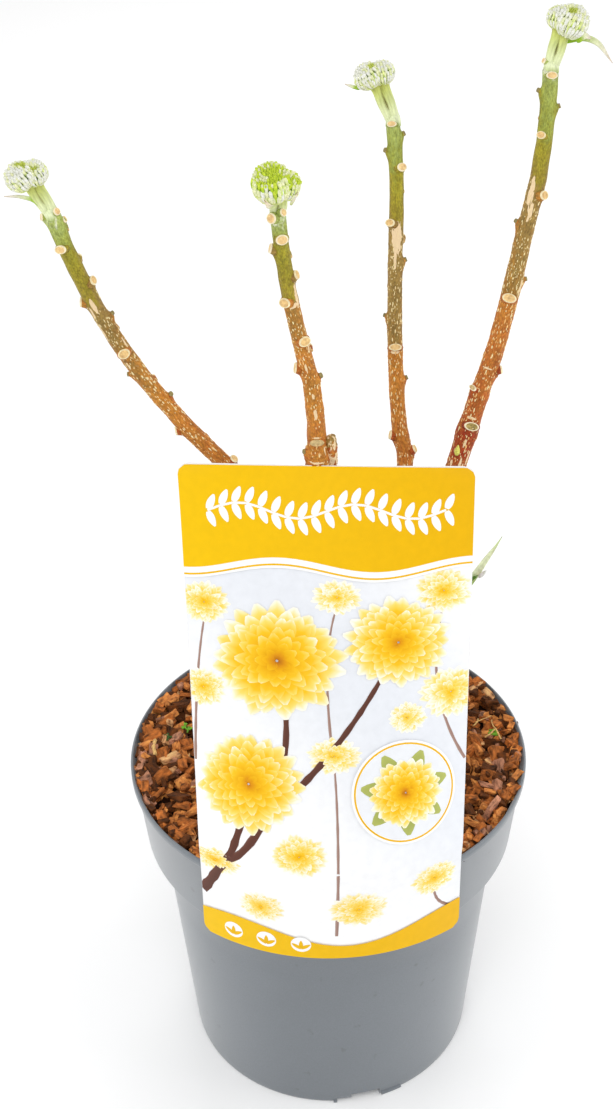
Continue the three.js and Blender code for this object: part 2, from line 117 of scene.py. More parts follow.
# The pot is a thin moulded container of blue-grey plastic, with a wide collar, a rolled lip and a
# foot with three drain notches. Its wall is turned from one outline and the notches are cut in it.
MM = 0.001
POT_HEIGHT = 173.5 * MM
POT_WALL = 1.4 * MM
POT_FLOOR = 6.2 * MM
FOOT_RADIUS = 71.2 * MM
FOOT_STEP = 0.9 * MM
# A drain's row gives its side and half its width in degrees, its height and its depth. A lug's row gives
# its side, half its width and its height.
DRAINS = {"notch": (14, 6, 5 * MM, 6 * MM), "recess": (5, 3, 2.4 * MM, 3 * MM)}
DRAIN_TURNS = (0, 120, 240)
LUGS = ((25, 4.4, 2.8 * MM), (1.4, 0.7, 1.6 * MM))
LUG_PROUD = 1 * MM
LUG_OUTLINE = ((-1, 0), (0.6, 0), (1, 0.25), (0.8, 0.7), (-1, 1))
LUG_STEPS = 8
BODY_RADIUS = 82.4 * MM
COLLAR_FOOT = 131.1 * MM
COLLAR_RADII = (89.8 * MM, 93.5 * MM)
LIP_FOOT = 168.9 * MM
LIP_RADIUS = 95.3 * MM
LIP_BORE = 93.9 * MM
LIP_EDGE = 0.9 * MM
WALL_RINGS = (5.5 * MM, 7 * MM, 12 * MM, 30 * MM, 60 * MM, 100 * MM)
POT_TURNS = 180
POT_GREY = (106, 112, 118)
POT_PALE = tuple(c * 1.05 for c in POT_GREY)
POT_SCUFF = (84, 88, 90)
SCUFF_SHARE = 0.6
# Near-black plastic for the inside of the collar: painted shade inside the pot above the mix.
POT_INSIDE_SHADE = (58, 61, 64)
POT_CREASE = 0.3 * MM
CREASE_ANGLE = 28
SHEEN = {"Sheen Weight": 0.32, "Sheen Roughness": 0.4}
MERGED = 0.001 * MM
SNAP = 0.01 * MM


def to_linear(colour):
    """A colour as it looks in the studio's light, from 0 to 255, turned into a shader's linear one."""
    shares = [c / 255 for c in colour]
    linear = [s / 12.92 if s < 0.04045 else ((s + 0.055) / 1.055) ** 2.4 for s in shares]
    return tuple(share / STUDIO_LIGHT for share in linear)


def set_values(node, values):
    """Sets plain values on a shader node's inputs."""
    for name, value in values.items():
        node.inputs[name].default_value = value


def add_node(material, kind, values, sockets, **settings):
    """A shader node with its settings, plain values and other nodes' sockets on its inputs."""
    node = material.node_tree.nodes.new("ShaderNode" + kind)
    for name, setting in settings.items():
        setattr(node, name, setting)
    set_values(node, values)
    for name, socket in sockets.items():
        material.node_tree.links.new(socket, node.inputs[name])
    return node


def new_material(name, colour, roughness, specular=0.4):
    """A plain material in one colour."""
    material = bpy.data.materials.new(name)
    material.use_nodes = True
    values = {"Base Color": (*to_linear(colour), 1), "Roughness": roughness, "Specular IOR Level": specular}
    set_values(material.node_tree.nodes["Principled BSDF"], values)
    return material


def add_noise(material, scale, detail=2, stretch=(1, 1, 1), where=None):
    """A noise pattern on the piece's own coordinates, or on those given, stretched along the axes."""
    where = where or add_node(material, "TexCoord", {}, {}).outputs["Object"]
    mapped = add_node(material, "Mapping", {"Scale": stretch}, {"Vector": where}).outputs["Vector"]
    pattern = add_node(material, "TexNoise", {"Scale": scale, "Detail": detail}, {"Vector": mapped})
    return pattern.outputs["Fac"]


def add_ramp(material, pattern, stops):
    """A colour socket that follows a pattern through stops of place and colour."""
    ramp = add_node(material, "ValToRGB", {}, {"Fac": pattern})
    elements = ramp.color_ramp.elements
    elements[0].position = stops[0][0]
    elements[-1].position = stops[-1][0]
    for place, _ in stops[1:-1]:
        elements.new(place)
    for element, (_, colour) in zip(elements, stops):
        element.color = (*to_linear(colour), 1)
    return ramp.outputs["Color"]


def spread_over(material, value, low, high, to=(0, 1)):
    """A socket that goes from one number to another as a value goes from low to high."""
    values = {"From Min": low, "From Max": high, "To Min": to[0], "To Max": to[1]}
    return add_node(material, "MapRange", values, {"Value": value}).outputs["Result"]


def add_shade(material, colour, pattern, low, high):
    """A colour socket made darker and lighter by a pattern, from low to high times itself."""
    scale = spread_over(material, pattern, 0.3, 0.7, (low, high))
    shaded = add_node(material, "VectorMath", {}, {0: colour, "Scale": scale}, operation="SCALE")
    return shaded.outputs["Vector"]


def reckon(material, operation, first, second):
    """A maths node on a socket and a socket or number."""
    plain = isinstance(second, float)
    values, sockets = ({1: second}, {0: first}) if plain else ({}, {0: first, 1: second})
    return add_node(material, "Math", values, sockets, operation=operation).outputs["Value"]


def laid_over(material, colour, over, share):
    """A colour socket with another colour laid over it by a share."""
    values, sockets = {7: (*to_linear(over), 1)}, {"Factor": share, 6: colour}
    return add_node(material, "Mix", values, sockets, data_type="RGBA").outputs[2]


def set_colour(material, colour):
    """Leads a colour socket to the material's base colour."""
    shader = material.node_tree.nodes["Principled BSDF"]
    material.node_tree.links.new(colour, shader.inputs["Base Color"])


def add_bump(material, pattern, depth):
    """Roughens the surface with a pattern that is this deep."""
    bump = add_node(material, "Bump", {"Strength": 1, "Distance": depth}, {"Height": pattern})
    shader = material.node_tree.nodes["Principled BSDF"]
    material.node_tree.links.new(bump.outputs["Normal"], shader.inputs["Normal"])


def mottled(name, colour, roughness, scale, spread, depth, specular=0.4):
    """A material in one colour with light and dark mottling and a fine matching relief."""
    material = new_material(name, colour, roughness, specular)
    low, high = [tuple(min(255, c * share) for c in colour) for share in (1 - spread, 1 + spread)]
    set_colour(material, add_ramp(material, add_noise(material, scale, 4), [(0.3, low), (0.7, high)]))
    add_bump(material, add_noise(material, scale * 3, 3), depth)
    return material


def face_outwards(bm):
    """Turns all the faces of a bmesh outwards."""
    bmesh.ops.recalc_face_normals(bm, faces=bm.faces)


def fill_holes(bm):
    """Closes every hole in a bmesh with one face."""
    bmesh.ops.holes_fill(bm, edges=[edge for edge in bm.edges if edge.is_boundary], sides=0)


def corners_in(made):
    """The corners among what a bmesh operator made."""
    return [thing for thing in made if isinstance(thing, bmesh.types.BMVert)]


def turn_between(side, other):
    """How many degrees one side lies round from another, from -180 to 180."""
    return (side - other + 180) % 360 - 180


def turned(outline, turns):
    """A bmesh spun round the Z axis from an outline of radius and height pairs."""
    bm = bmesh.new()
    corners = [bm.verts.new((radius, 0, height)) for radius, height in outline]
    edges = [bm.edges.new(pair) for pair in zip(corners, corners[1:])]
    bmesh.ops.spin(
        bm, geom=corners + edges, cent=(0, 0, 0), axis=(0, 0, 1), angle=math.tau, steps=turns, use_merge=True
    )
    bmesh.ops.remove_doubles(bm, verts=bm.verts, dist=MERGED)
    face_outwards(bm)
    return bm


def wall_radius(height):
    """The radius of the pot's outer wall below the collar."""
    return FOOT_RADIUS + (BODY_RADIUS - FOOT_RADIUS) * height / COLLAR_FOOT


def cut_drain(bm, middle, half, height, depth):
    """Opens the foot at a drain hole and closes it with a roof, a back and two cheeks."""
    back_radius = FOOT_RADIUS - depth
    cut = []
    for face in bm.faces:
        at = face.calc_center_median()
        beside = abs(turn_between(math.degrees(math.atan2(at.x, -at.y)), middle))
        if at.z < height and at.xy.length > back_radius and beside <= half:
            cut.append(face)
    bmesh.ops.delete(bm, geom=cut, context="FACES")
    rims = [edge for edge in bm.edges if edge.is_boundary]
    at_roof = [edge for edge in rims if all(abs(vert.co.z - height) < SNAP for vert in edge.verts)]
    grown = bmesh.ops.extrude_edge_only(bm, edges=at_roof)["geom"]
    for vert in corners_in(grown):
        vert.co.xy = vert.co.xy.normalized() * back_radius
    rims = [thing for thing in grown if isinstance(thing, bmesh.types.BMEdge) and thing.is_boundary]
    at_back = [edge for edge in rims if all(vert.co.xy.length < back_radius + SNAP for vert in edge.verts)]
    for vert in corners_in(bmesh.ops.extrude_edge_only(bm, edges=at_back)["geom"]):
        vert.co.z = 0
    bmesh.ops.remove_doubles(bm, verts=bm.verts, dist=MERGED)
    fill_holes(bm)


def add_lug(bm, middle, half, height):
    """A small lug on the foot, from one face that is spun a little way round the pot."""
    start = math.radians(middle - half)
    corners = []
    for proud, up in LUG_OUTLINE:
        radius = FOOT_RADIUS + proud * LUG_PROUD
        corners.append(bm.verts.new((radius * math.sin(start), -radius * math.cos(start), up * height)))
    face = bm.faces.new(corners)
    bmesh.ops.spin(
        bm, geom=[face, *face.edges, *face.verts], cent=(0, 0, 0), axis=(0, 0, 1),
        angle=math.radians(2 * half), steps=LUG_STEPS, use_duplicate=False,
    )
    fill_holes(bm)


bm = turned(
    [
        (0, FOOT_STEP),
        (FOOT_RADIUS - DRAINS["notch"][3] - 2 * FOOT_STEP, FOOT_STEP),
        (FOOT_RADIUS - DRAINS["notch"][3], 0),
        (FOOT_RADIUS - DRAINS["recess"][3], 0),
        (FOOT_RADIUS - 1.2 * MM, 0),
        (FOOT_RADIUS - 0.3 * MM, 0.3 * MM),
        (FOOT_RADIUS, 1.2 * MM),
        *[(wall_radius(height), height) for _, _, height, _ in reversed(DRAINS.values())],
        *[(wall_radius(height), height) for height in WALL_RINGS],
        (BODY_RADIUS, COLLAR_FOOT),
        (COLLAR_RADII[0] - 1.2 * MM, COLLAR_FOOT),
        (COLLAR_RADII[0] - 0.3 * MM, COLLAR_FOOT + 0.3 * MM),
        (COLLAR_RADII[0], COLLAR_FOOT + 1.2 * MM),
        (COLLAR_RADII[1], LIP_FOOT - 0.6 * MM),
        (COLLAR_RADII[1] + 0.4 * MM, LIP_FOOT),
        (LIP_RADIUS - 0.4 * MM, LIP_FOOT + 0.1 * MM),
        (LIP_RADIUS, LIP_FOOT + LIP_EDGE),
        (LIP_RADIUS, POT_HEIGHT - LIP_EDGE),
        (LIP_RADIUS - 0.3 * MM, POT_HEIGHT - 0.3 * MM),
        (LIP_RADIUS - LIP_EDGE, POT_HEIGHT),
        (LIP_BORE + 0.3 * MM, POT_HEIGHT - 0.2 * MM),
        (LIP_BORE, POT_HEIGHT - LIP_EDGE),
        (COLLAR_RADII[1] - POT_WALL, LIP_FOOT - LIP_EDGE),
        (COLLAR_RADII[0] - POT_WALL, COLLAR_FOOT + POT_WALL),
        (BODY_RADIUS - POT_WALL, COLLAR_FOOT + POT_WALL),
        (FOOT_RADIUS - POT_WALL, POT_FLOOR),
        (0, POT_FLOOR),
    ],
    POT_TURNS,
)
for turn in DRAIN_TURNS:
    for middle, half, height, depth in DRAINS.values():
        cut_drain(bm, middle + turn, half, height, depth)
    for middle, half, height in LUGS:
        add_lug(bm, middle + turn, half, height)
face_outwards(bm)
# Faces on the inside of the collar get the near-black second material: painted shade on the pot's inner wall.
for face in bm.faces:
    at = face.calc_center_median()
    in_collar = COLLAR_FOOT < at.z < LIP_FOOT and at.xy.length < COLLAR_RADII[1] - POT_WALL / 2
    face.material_index = int(in_collar and face.normal.dot(at) < 0)

pot_plastic = mottled("pot_plastic", POT_GREY, 0.36, 16, 0.03, 0.00002, 0.6)
clouds = add_ramp(pot_plastic, add_noise(pot_plastic, 14, 5), [(0.3, POT_GREY), (0.7, POT_PALE)])
specks = add_shade(pot_plastic, clouds, add_noise(pot_plastic, 1500, 2), 0.93, 1.07)
scuffed = spread_over(pot_plastic, add_noise(pot_plastic, 150, 3), 0.68, 0.76)
scuffed = reckon(pot_plastic, "MULTIPLY", scuffed, SCUFF_SHARE)
set_colour(pot_plastic, laid_over(pot_plastic, specks, POT_SCUFF, scuffed))
set_values(pot_plastic.node_tree.nodes["Principled BSDF"], SHEEN)
pot_inside_shade = mottled("pot_inside_shade", POT_INSIDE_SHADE, 0.55, 60, 0.06, 0.00003)
pot = finished(bm, "nursery_pot", [pot_plastic, pot_inside_shade])
crease = pot.modifiers.new("crease", "BEVEL")
crease.width = POT_CREASE
crease.segments = 2
crease.limit_method = "ANGLE"
crease.angle_limit = math.radians(CREASE_ANGLE)
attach(pot, "root")
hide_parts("pot")


# The growing mix is dark damp peat that fills the pot to just under its lip, lumpy on top. Its near-black
# colour is partly the peat's own and partly painted shade in the gaps between the chips. Its body is
# turned to the inside of the pot, and its top is pushed up and down.
MIX_LEVEL = 167.4 * MM
MIX_LUMP = 1.6 * MM
LUMPS_PER_METRE = (160, 480)
MIX_GAP = 0.4 * MM
MIX_RINGS = 34
PEAT_AND_GAP_SHADE = (34, 14, 4)

inside = POT_WALL + MIX_GAP
up, whole = MIX_LEVEL - COLLAR_FOOT, LIP_FOOT - COLLAR_FOOT
rim = COLLAR_RADII[0] + (COLLAR_RADII[1] - COLLAR_RADII[0]) * up / whole
bm = turned(
    [
        (0, POT_FLOOR + MIX_GAP),
        (FOOT_RADIUS - inside, POT_FLOOR + MIX_GAP),
        (BODY_RADIUS - inside, COLLAR_FOOT + inside),
        (COLLAR_RADII[0] - inside, COLLAR_FOOT + inside),
        *[((rim - inside) * (1 - ring / MIX_RINGS), MIX_LEVEL) for ring in range(MIX_RINGS + 1)],
    ],
    POT_TURNS,
)
for vert in bm.verts:
    if vert.co.z > MIX_LEVEL - MIX_GAP:
        lumps, crumbs = [noise.noise(vert.co * count) for count in LUMPS_PER_METRE]
        vert.co.z += MIX_LUMP * lumps + MIX_LUMP / 2 * crumbs
peat = finished(bm, "peat", [mottled("peat", PEAT_AND_GAP_SHADE, 0.95, 420, 0.5, 0.0006, 0.15)])
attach(peat, "root")
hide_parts("growing_mix")


# Bark chips cover the peat, broken flakes of pine bark in russet, orange, brown, mauve and tan with
# crumbs between them. Each is one of a few worn shards, dropped at its own place and turn, in layers.
CHIP_SHAPES = 16
CHIP_BLOCK = 0.94
CHIP_SKEW = 0.17
CHIP_WORN = (0.05, 0.12)
CHIP_LENGTHS = ((4, 7.2), (5.5, 11.5))
CHIP_SLIMNESS = (0.42, 0.92)
CHIP_THINNEST = 1.8
CHIP_THICKEST = 4.2
CHIP_TILTS = (0.5, 0.32)
CHIP_DRIFT = 1.9
CHIP_LIFT = (-0.9, 0.7)
CHIP_FATTEST = 0.75
CHIP_INWARD = 0.32
CHIP_UPTURN = 0.14
CHIP_SPACING = 5.3 * MM
ROW_SPACING = 0.866
CHIP_REACH = 93.4 * MM
CHIP_TOP = 175.4 * MM
CHIP_LAYERS = ((167.2 * MM, 1.0), (169.8 * MM, 0.9), (172 * MM, 0.62))
CRUMB_SHARE = 0.34
CRUMB_SIZE = 0.5
RIM_RISE = 1.5 * MM
RIM_LAYERS = (169 * MM, 171.2 * MM, 172.6 * MM)
RIM_CHIPS = 66
RIM_SIZES = ((4, 9), (2.4, 5), (1.8, 3.4))
RIM_TOP = 174.2 * MM
RIM_TILTS = (0.3, 0.14)
RIM_JITTER = 0.4
RIM_DRIFT = 1.6
RIM_LIFT = 0.7
RIM_SWING = 0.25
TRUNK_FOOT = Vector((3, 6.4, 0)) * MM
TRUNK_CLEAR = 11.5 * MM
BARK_COLOURS = {
    "russet": ((168, 97, 43), 30),
    "orange": ((210, 130, 66), 25),
    "brown": ((88, 47, 14), 31),
    "mauve": ((172, 120, 92), 10),
    "tan": ((218, 158, 106), 4),
}
BARK_GRAIN = ((0.3, 0.5), (0.48, 0.97), (0.72, 1.34))
GRAIN_SHIFT = 17 * MM


def kept_mark(material, name, output="Fac"):
    """A socket that reads a value kept on the mesh under a name."""
    return add_node(material, "Attribute", {}, {}, attribute_name=name).outputs[output]


def small_shape(bm):
    """A small shape as its corners, faces and finishes, ready to be repeated."""
    bm.verts.index_update()
    corners = np.array([vert.co[:] for vert in bm.verts])
    faces = [[vert.index for vert in face.verts] for face in bm.faces]
    finishes = [face.material_index for face in bm.faces]
    bm.free()
    return corners, faces, finishes


def crowd(name, places, materials, smooth=True, ages=()):
    """One joined piece of small shapes, each with the matrix that puts it in place, and some with an age.
    Its grain, kept on the mesh, is each place as it would be if its own shape were not moved or turned."""
    corners, faces, finishes, grain, count = [], [], [], [], 0
    for (spots, sides, finish), put in places:
        turn = np.array(put)
        corners.append(spots @ turn[:3, :3].T + turn[:3, 3])
        grain.append(spots * np.linalg.norm(turn[:3, :3], axis=0) + len(grain) * GRAIN_SHIFT)
        faces += [[count + corner for corner in side] for side in sides]
        finishes += finish
        count += len(spots)
    mesh = bpy.data.meshes.new(name)
    mesh.from_pydata(np.concatenate(corners), [], faces)
    kept = mesh.attributes.new("grain", "FLOAT_VECTOR", "POINT")
    kept.data.foreach_set("vector", np.concatenate(grain).ravel())
    if ages:
        spread = np.repeat(ages, [len(spots) for spots in corners])
        mesh.attributes.new("age", "FLOAT", "POINT").data.foreach_set("value", spread)
    for material in materials:
        mesh.materials.append(material)
    mesh.polygons.foreach_set("material_index", finishes)
    mesh.polygons.foreach_set("use_smooth", [smooth] * len(faces))
    made = bpy.data.objects.new(name, mesh)
    scene.collection.objects.link(made)
    return made


def bevelled(bm, width, segments):
    """Rounds all the edges of a bmesh."""
    bmesh.ops.bevel(
        bm, geom=bm.edges[:], offset=width, affect="EDGES", segments=segments, profile=0.5, material=-1,
        clamp_overlap=True,
    )


def bark_chip(roll):
    """A chip one unit long: a slab knocked out of square, broken at its ends and a little worn."""
    bm = bmesh.new()
    bmesh.ops.create_cube(bm, size=CHIP_BLOCK)
    lengthwise = [e for e in bm.edges if abs((e.verts[0].co - e.verts[1].co).x) > CHIP_BLOCK / 2]
    bmesh.ops.subdivide_edges(bm, edges=lengthwise, cuts=1)
    for vert in bm.verts:
        vert.co += Vector([roll.uniform(-CHIP_SKEW, CHIP_SKEW) for _ in range(3)])
    bevelled(bm, roll.uniform(*CHIP_WORN), 1)
    face_outwards(bm)
    return small_shape(bm)


def tipped(roll, lengthwise, crosswise):
    """A small tilt by chance about the X axis and then the Y axis."""
    first = Matrix.Rotation(roll.gauss(0, lengthwise), 4, "X")
    return first @ Matrix.Rotation(roll.gauss(0, crosswise), 4, "Y")


roll = random.Random(11)
chips = [bark_chip(roll) for _ in range(CHIP_SHAPES)]
heaps = {name: [] for name in BARK_COLOURS}
shares = [share for _, share in BARK_COLOURS.values()]
columns = int(CHIP_REACH / CHIP_SPACING) + 1
for level, fullness in CHIP_LAYERS:
    for column in range(-columns, columns + 1):
        for row in range(-columns - 3, columns + 4):
            spot = Vector((column + row % 2 / 2, row * ROW_SPACING, 0)) * CHIP_SPACING
            spot += Vector([*[roll.uniform(-CHIP_DRIFT, CHIP_DRIFT) for _ in range(2)], 0]) * MM
            long = roll.choice([roll.uniform(*reach) for reach in CHIP_LENGTHS]) * MM
            if roll.random() < CRUMB_SHARE:
                long *= CRUMB_SIZE
            wide = max(CHIP_THINNEST * MM, long * roll.uniform(*CHIP_SLIMNESS))
            thick = min(long * CHIP_FATTEST, roll.uniform(CHIP_THINNEST, CHIP_THICKEST) * MM)
            tilt = tipped(roll, *CHIP_TILTS)
            heading = Matrix.Rotation(roll.uniform(0, math.tau), 4, "Z")
            kind = roll.choices(list(BARK_COLOURS), shares)[0]
            chip = roll.choice(chips)
            height = level + roll.uniform(*CHIP_LIFT) * MM + RIM_RISE * (spot.length / CHIP_REACH) ** 5
            kept = roll.random() < fullness
            at_trunk = (spot - TRUNK_FOOT).length < TRUNK_CLEAR
            if spot.length > CHIP_REACH - long * CHIP_INWARD or at_trunk or not kept:
                continue
            spot.z = min(height, CHIP_TOP - thick / 2 - long * CHIP_UPTURN)
            shape = Matrix.Diagonal((long, wide, thick, 1))
            heaps[kind].append((chip, Matrix.Translation(spot) @ heading @ tilt @ shape))
for level in RIM_LAYERS:
    for n in range(RIM_CHIPS):
        turn = math.tau * (n + roll.uniform(-RIM_JITTER, RIM_JITTER)) / RIM_CHIPS
        long, wide, thick = [roll.uniform(*reach) * MM for reach in RIM_SIZES]
        radius = CHIP_REACH - wide / 2 - roll.uniform(0, RIM_DRIFT) * MM
        spot = Vector((radius * math.cos(turn), radius * math.sin(turn), 0))
        spot.z = min(level + roll.uniform(-RIM_LIFT, RIM_LIFT) * MM, RIM_TOP - thick / 2)
        along_wall = Matrix.Rotation(turn + math.pi / 2 + roll.gauss(0, RIM_SWING), 4, "Z")
        tilt = tipped(roll, *RIM_TILTS)
        kind = roll.choices(list(BARK_COLOURS), shares)[0]
        shape = Matrix.Diagonal((long, wide, thick, 1))
        heaps[kind].append((roll.choice(chips), Matrix.Translation(spot) @ along_wall @ tilt @ shape))
for kind, places in heaps.items():
    colour = BARK_COLOURS[kind][0]
    chip_bark = new_material(kind + "_bark", colour, 0.8, 0.2)
    chip_grain = kept_mark(chip_bark, "grain", "Vector")
    layers = add_noise(chip_bark, 520, 6, (0.45, 1, 1.4), chip_grain)
    tints = [(stop, tuple(min(255, c * share) for c in colour)) for stop, share in BARK_GRAIN]
    chip_colour = add_ramp(chip_bark, layers, tints)
    set_colour(chip_bark, add_shade(chip_bark, chip_colour, add_noise(chip_bark, 90, 3), 0.8, 1.15))
    add_bump(chip_bark, add_noise(chip_bark, 900, 4, (0.3, 1, 1.4), chip_grain), 0.0008)
    heap = crowd(kind + "_chips", places, [chip_bark], smooth=False)
    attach(heap, "root")


# Straws, needles and a few green sprouts lie among the chips, as they do in any bark mulch. Each is a
# thin bent tube or a small blade that rests on the chips.
STRAW_COUNT = 44
STRAW_LEVEL = 174 * MM
STRAW_PARTS = 4
STRAW_LENGTHS = (6, 13)
STRAW_WIDTHS = (0.5, 1.1)
STRAW_SWING = 1.2
STRAW_RISE = 0.05
STRAW_DIPS = (-0.12, 0.1)
STRAW_BEND = 0.35
STRAW_COLOURS = {"straw": (226, 182, 112), "needle": (160, 100, 44)}
# A placed straw starts at a place across and behind, and each part has a heading, length and thickness.
FORKED_STRAW = ((82, 12), (-2.2, (9, 0.9)), (-1.2, (8, 0.8)), (1.9, (7, 0.7)))
RIM_STRAW = ((-84, 6), (-1.75, (11, 2.0)))
SPROUT_COLOURS = {"bright": (112, 172, 34), "deep": (48, 84, 18)}
SPROUT_PLACES = {
    "bright": ((-70, 16.5), (-68.6, 14.5), (81, 12), (80, 9), (31, 64)),
    "deep": ((-64, 19), (-62.5, 16), (-63, 22), (-78, 9), (-28, 66), (52, -56)),
}
SPROUT_BLADES = 4
SPROUT_SIZES = ((1.6, 3), (1, 1.9))


def bent_straw(bm, start, heading, length, thickness, roll):
    """A straw of four-sided rings, bent a little at each ring, added to a bmesh."""
    ring = bmesh.ops.create_circle(bm, segments=4, radius=thickness / 2, cap_ends=True)["verts"]
    aim = Vector((math.cos(heading), math.sin(heading), STRAW_RISE))
    bmesh.ops.rotate(bm, verts=ring, matrix=aim.to_track_quat("Z", "Y").to_matrix(), cent=(0, 0, 0))
    bmesh.ops.translate(bm, verts=ring, vec=start)
    face = next(f for f in ring[0].link_faces)
    for _ in range(STRAW_PARTS):
        made = bmesh.ops.extrude_face_region(bm, geom=[face])["geom"]
        face = next(thing for thing in made if isinstance(thing, bmesh.types.BMFace))
        aim.z = roll.uniform(*STRAW_DIPS)
        aim.x += roll.uniform(-STRAW_BEND, STRAW_BEND)
        bmesh.ops.translate(bm, verts=corners_in(made), vec=aim.normalized() * length / STRAW_PARTS)


roll = random.Random(5)
for kind, colour in STRAW_COLOURS.items():
    bm = bmesh.new()
    for _ in range(STRAW_COUNT // 2):
        angle = roll.uniform(0, math.tau)
        radius = math.sqrt(roll.uniform(0.06, 0.85)) * CHIP_REACH
        start = Vector((radius * math.sin(angle), -radius * math.cos(angle), STRAW_LEVEL))
        inward = math.atan2(-start.y, -start.x) + roll.uniform(-STRAW_SWING, STRAW_SWING)
        long, thick = [roll.uniform(*reach) * MM for reach in (STRAW_LENGTHS, STRAW_WIDTHS)]
        bent_straw(bm, start, inward, long, thick, roll)
    if kind == "straw":
        for (across, behind), *pieces in (FORKED_STRAW, RIM_STRAW):
            for heading, (length, thickness) in pieces:
                start = Vector((across * MM, behind * MM, STRAW_LEVEL + MM))
                bent_straw(bm, start, heading, length * MM, thickness * MM, roll)
    face_outwards(bm)
    straw = finished(bm, kind + "_bits", [mottled(kind, colour, 0.7, 600, 0.15, 0.0002)])
    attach(straw, "root")

roll = random.Random(8)
for kind, colour in SPROUT_COLOURS.items():
    bm = bmesh.new()
    for across, behind in SPROUT_PLACES[kind]:
        start = Vector((across * MM, behind * MM, STRAW_LEVEL))
        for _ in range(SPROUT_BLADES):
            heading = roll.uniform(0, math.tau)
            long, thick = [roll.uniform(*reach) * MM for reach in SPROUT_SIZES]
            bent_straw(bm, start, heading, long, thick, roll)
    face_outwards(bm)
    sprouts = finished(bm, kind + "_sprouts", [mottled(kind + "_sprout", colour, 0.6, 600, 0.2, 0.0002)])
    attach(sprouts, "root")


# The stems, old trunk and young boughs alike, are smooth bark over wood. Every limb is a tube that is
# wrapped round a line through a few places and swells at the knots where leaves were.
ROUTE_STEPS = 60


def smooth_line(points):
    """The smooth line through some places in millimetres, as close places and their distances."""
    stops = [Vector(point) * MM for point in points]
    stops = [2 * stops[0] - stops[1], *stops, 2 * stops[-1] - stops[-2]]
    places = [stops[1]]
    for before, start, end, after in zip(stops, stops[1:], stops[2:], stops[3:]):
        spans = ((before, start), (start, end), (end, after))
        a, b, c = [math.sqrt((far - near).length) for near, far in spans]
        leave = ((start - before) / a - (end - before) / (a + b) + (end - start) / b) * b
        arrive = ((end - start) / b - (after - start) / (b + c) + (after - end) / c) * b
        curve = geometry.interpolate_bezier(start, start + leave / 3, end - arrive / 3, end, ROUTE_STEPS)
        places += curve[1:]
    distances = [0]
    for near, far in zip(places, places[1:]):
        distances.append(distances[-1] + (far - near).length)
    return places, distances


def station(line, distance):
    """The place at a distance along a line, with the directions along it, to the front and to the right."""
    places, distances = line
    step = min(max(bisect.bisect(distances, distance), 1), len(places) - 1)
    share = (distance - distances[step - 1]) / (distances[step] - distances[step - 1])
    at = places[step - 1].lerp(places[step], share)
    low, high = places[max(step - 2, 0)], places[min(step + 1, len(places) - 1)]
    along = (high - low).normalized()
    front = (Vector((0, -1, 0)) + along * along.y).normalized()
    return at, along, front, along.cross(front)


def outwards(front, right, side):
    """The direction out of a line at a side, in degrees from the front."""
    return front * math.cos(math.radians(side)) + right * math.sin(math.radians(side))


def tube(line, sides, ring, radius_at, marks=None, span=(0, 1)):
    """A closed tube round a line. radius_at and each mark take a distance and the degrees from the front.
    Its grain, kept on the mesh, is each place as it would be if the tube were straight."""
    first, last = [share * line[1][-1] for share in span]
    rings = max(3, round((last - first) / ring))
    stops = [station(line, first + (last - first) * n / rings) for n in range(rings + 1)]
    bm = bmesh.new()
    grain = bm.verts.layers.float_vector.new("grain")
    layers = {name: bm.verts.layers.float.new(name) for name in marks or {}}
    bmesh.ops.create_grid(bm, x_segments=sides, y_segments=rings, size=0.5)
    for vert in bm.verts:
        side = (vert.co.x + 0.5) * 360
        step = round((vert.co.y + 0.5) * rings)
        distance = first + (last - first) * step / rings
        at, along, front, right = stops[step]
        for name, layer in layers.items():
            vert[layer] = marks[name](distance, side)
        radius = radius_at(distance, side)
        turn = math.radians(side)
        vert[grain] = (radius * math.cos(turn), radius * math.sin(turn), distance)
        vert.co = at + outwards(front, right, side) * radius
    bmesh.ops.remove_doubles(bm, verts=bm.verts, dist=MERGED)
    fill_holes(bm)
    face_outwards(bm)
    return bm


# The bark is smooth and thin. It is pale green under silky down at a stem's tip, then olive, then
# orange-brown, and dark red on old wood. An age from 0 to 1, kept on the mesh, picks its colour.
BARK_AGES = [
    (0.00, (232, 234, 204)),
    (0.05, (170, 184, 100)),
    (0.17, (156, 162, 66)),
    (0.21, (152, 152, 58)),
    (0.30, (160, 150, 42)),
    (0.42, (156, 138, 44)),
    (0.48, (158, 130, 66)),
    (0.56, (156, 126, 66)),
    (0.62, (166, 122, 54)),
    (0.70, (202, 134, 50)),
    (0.80, (188, 114, 46)),
    (0.88, (180, 94, 36)),
    (1.00, (156, 56, 22)),
]
PEELED_BARK = (244, 216, 172)
FLUSHED_BARK = (176, 84, 30)
FLUSH_SHARE = 0.32
AGE_BLUR = 0.22
TEAR = 1.2


def bark_noise(scale, detail, length):
    """A pattern in the bark, drawn out along the stem."""
    return add_noise(stem_bark, scale, detail, (1, 1, length), grain)


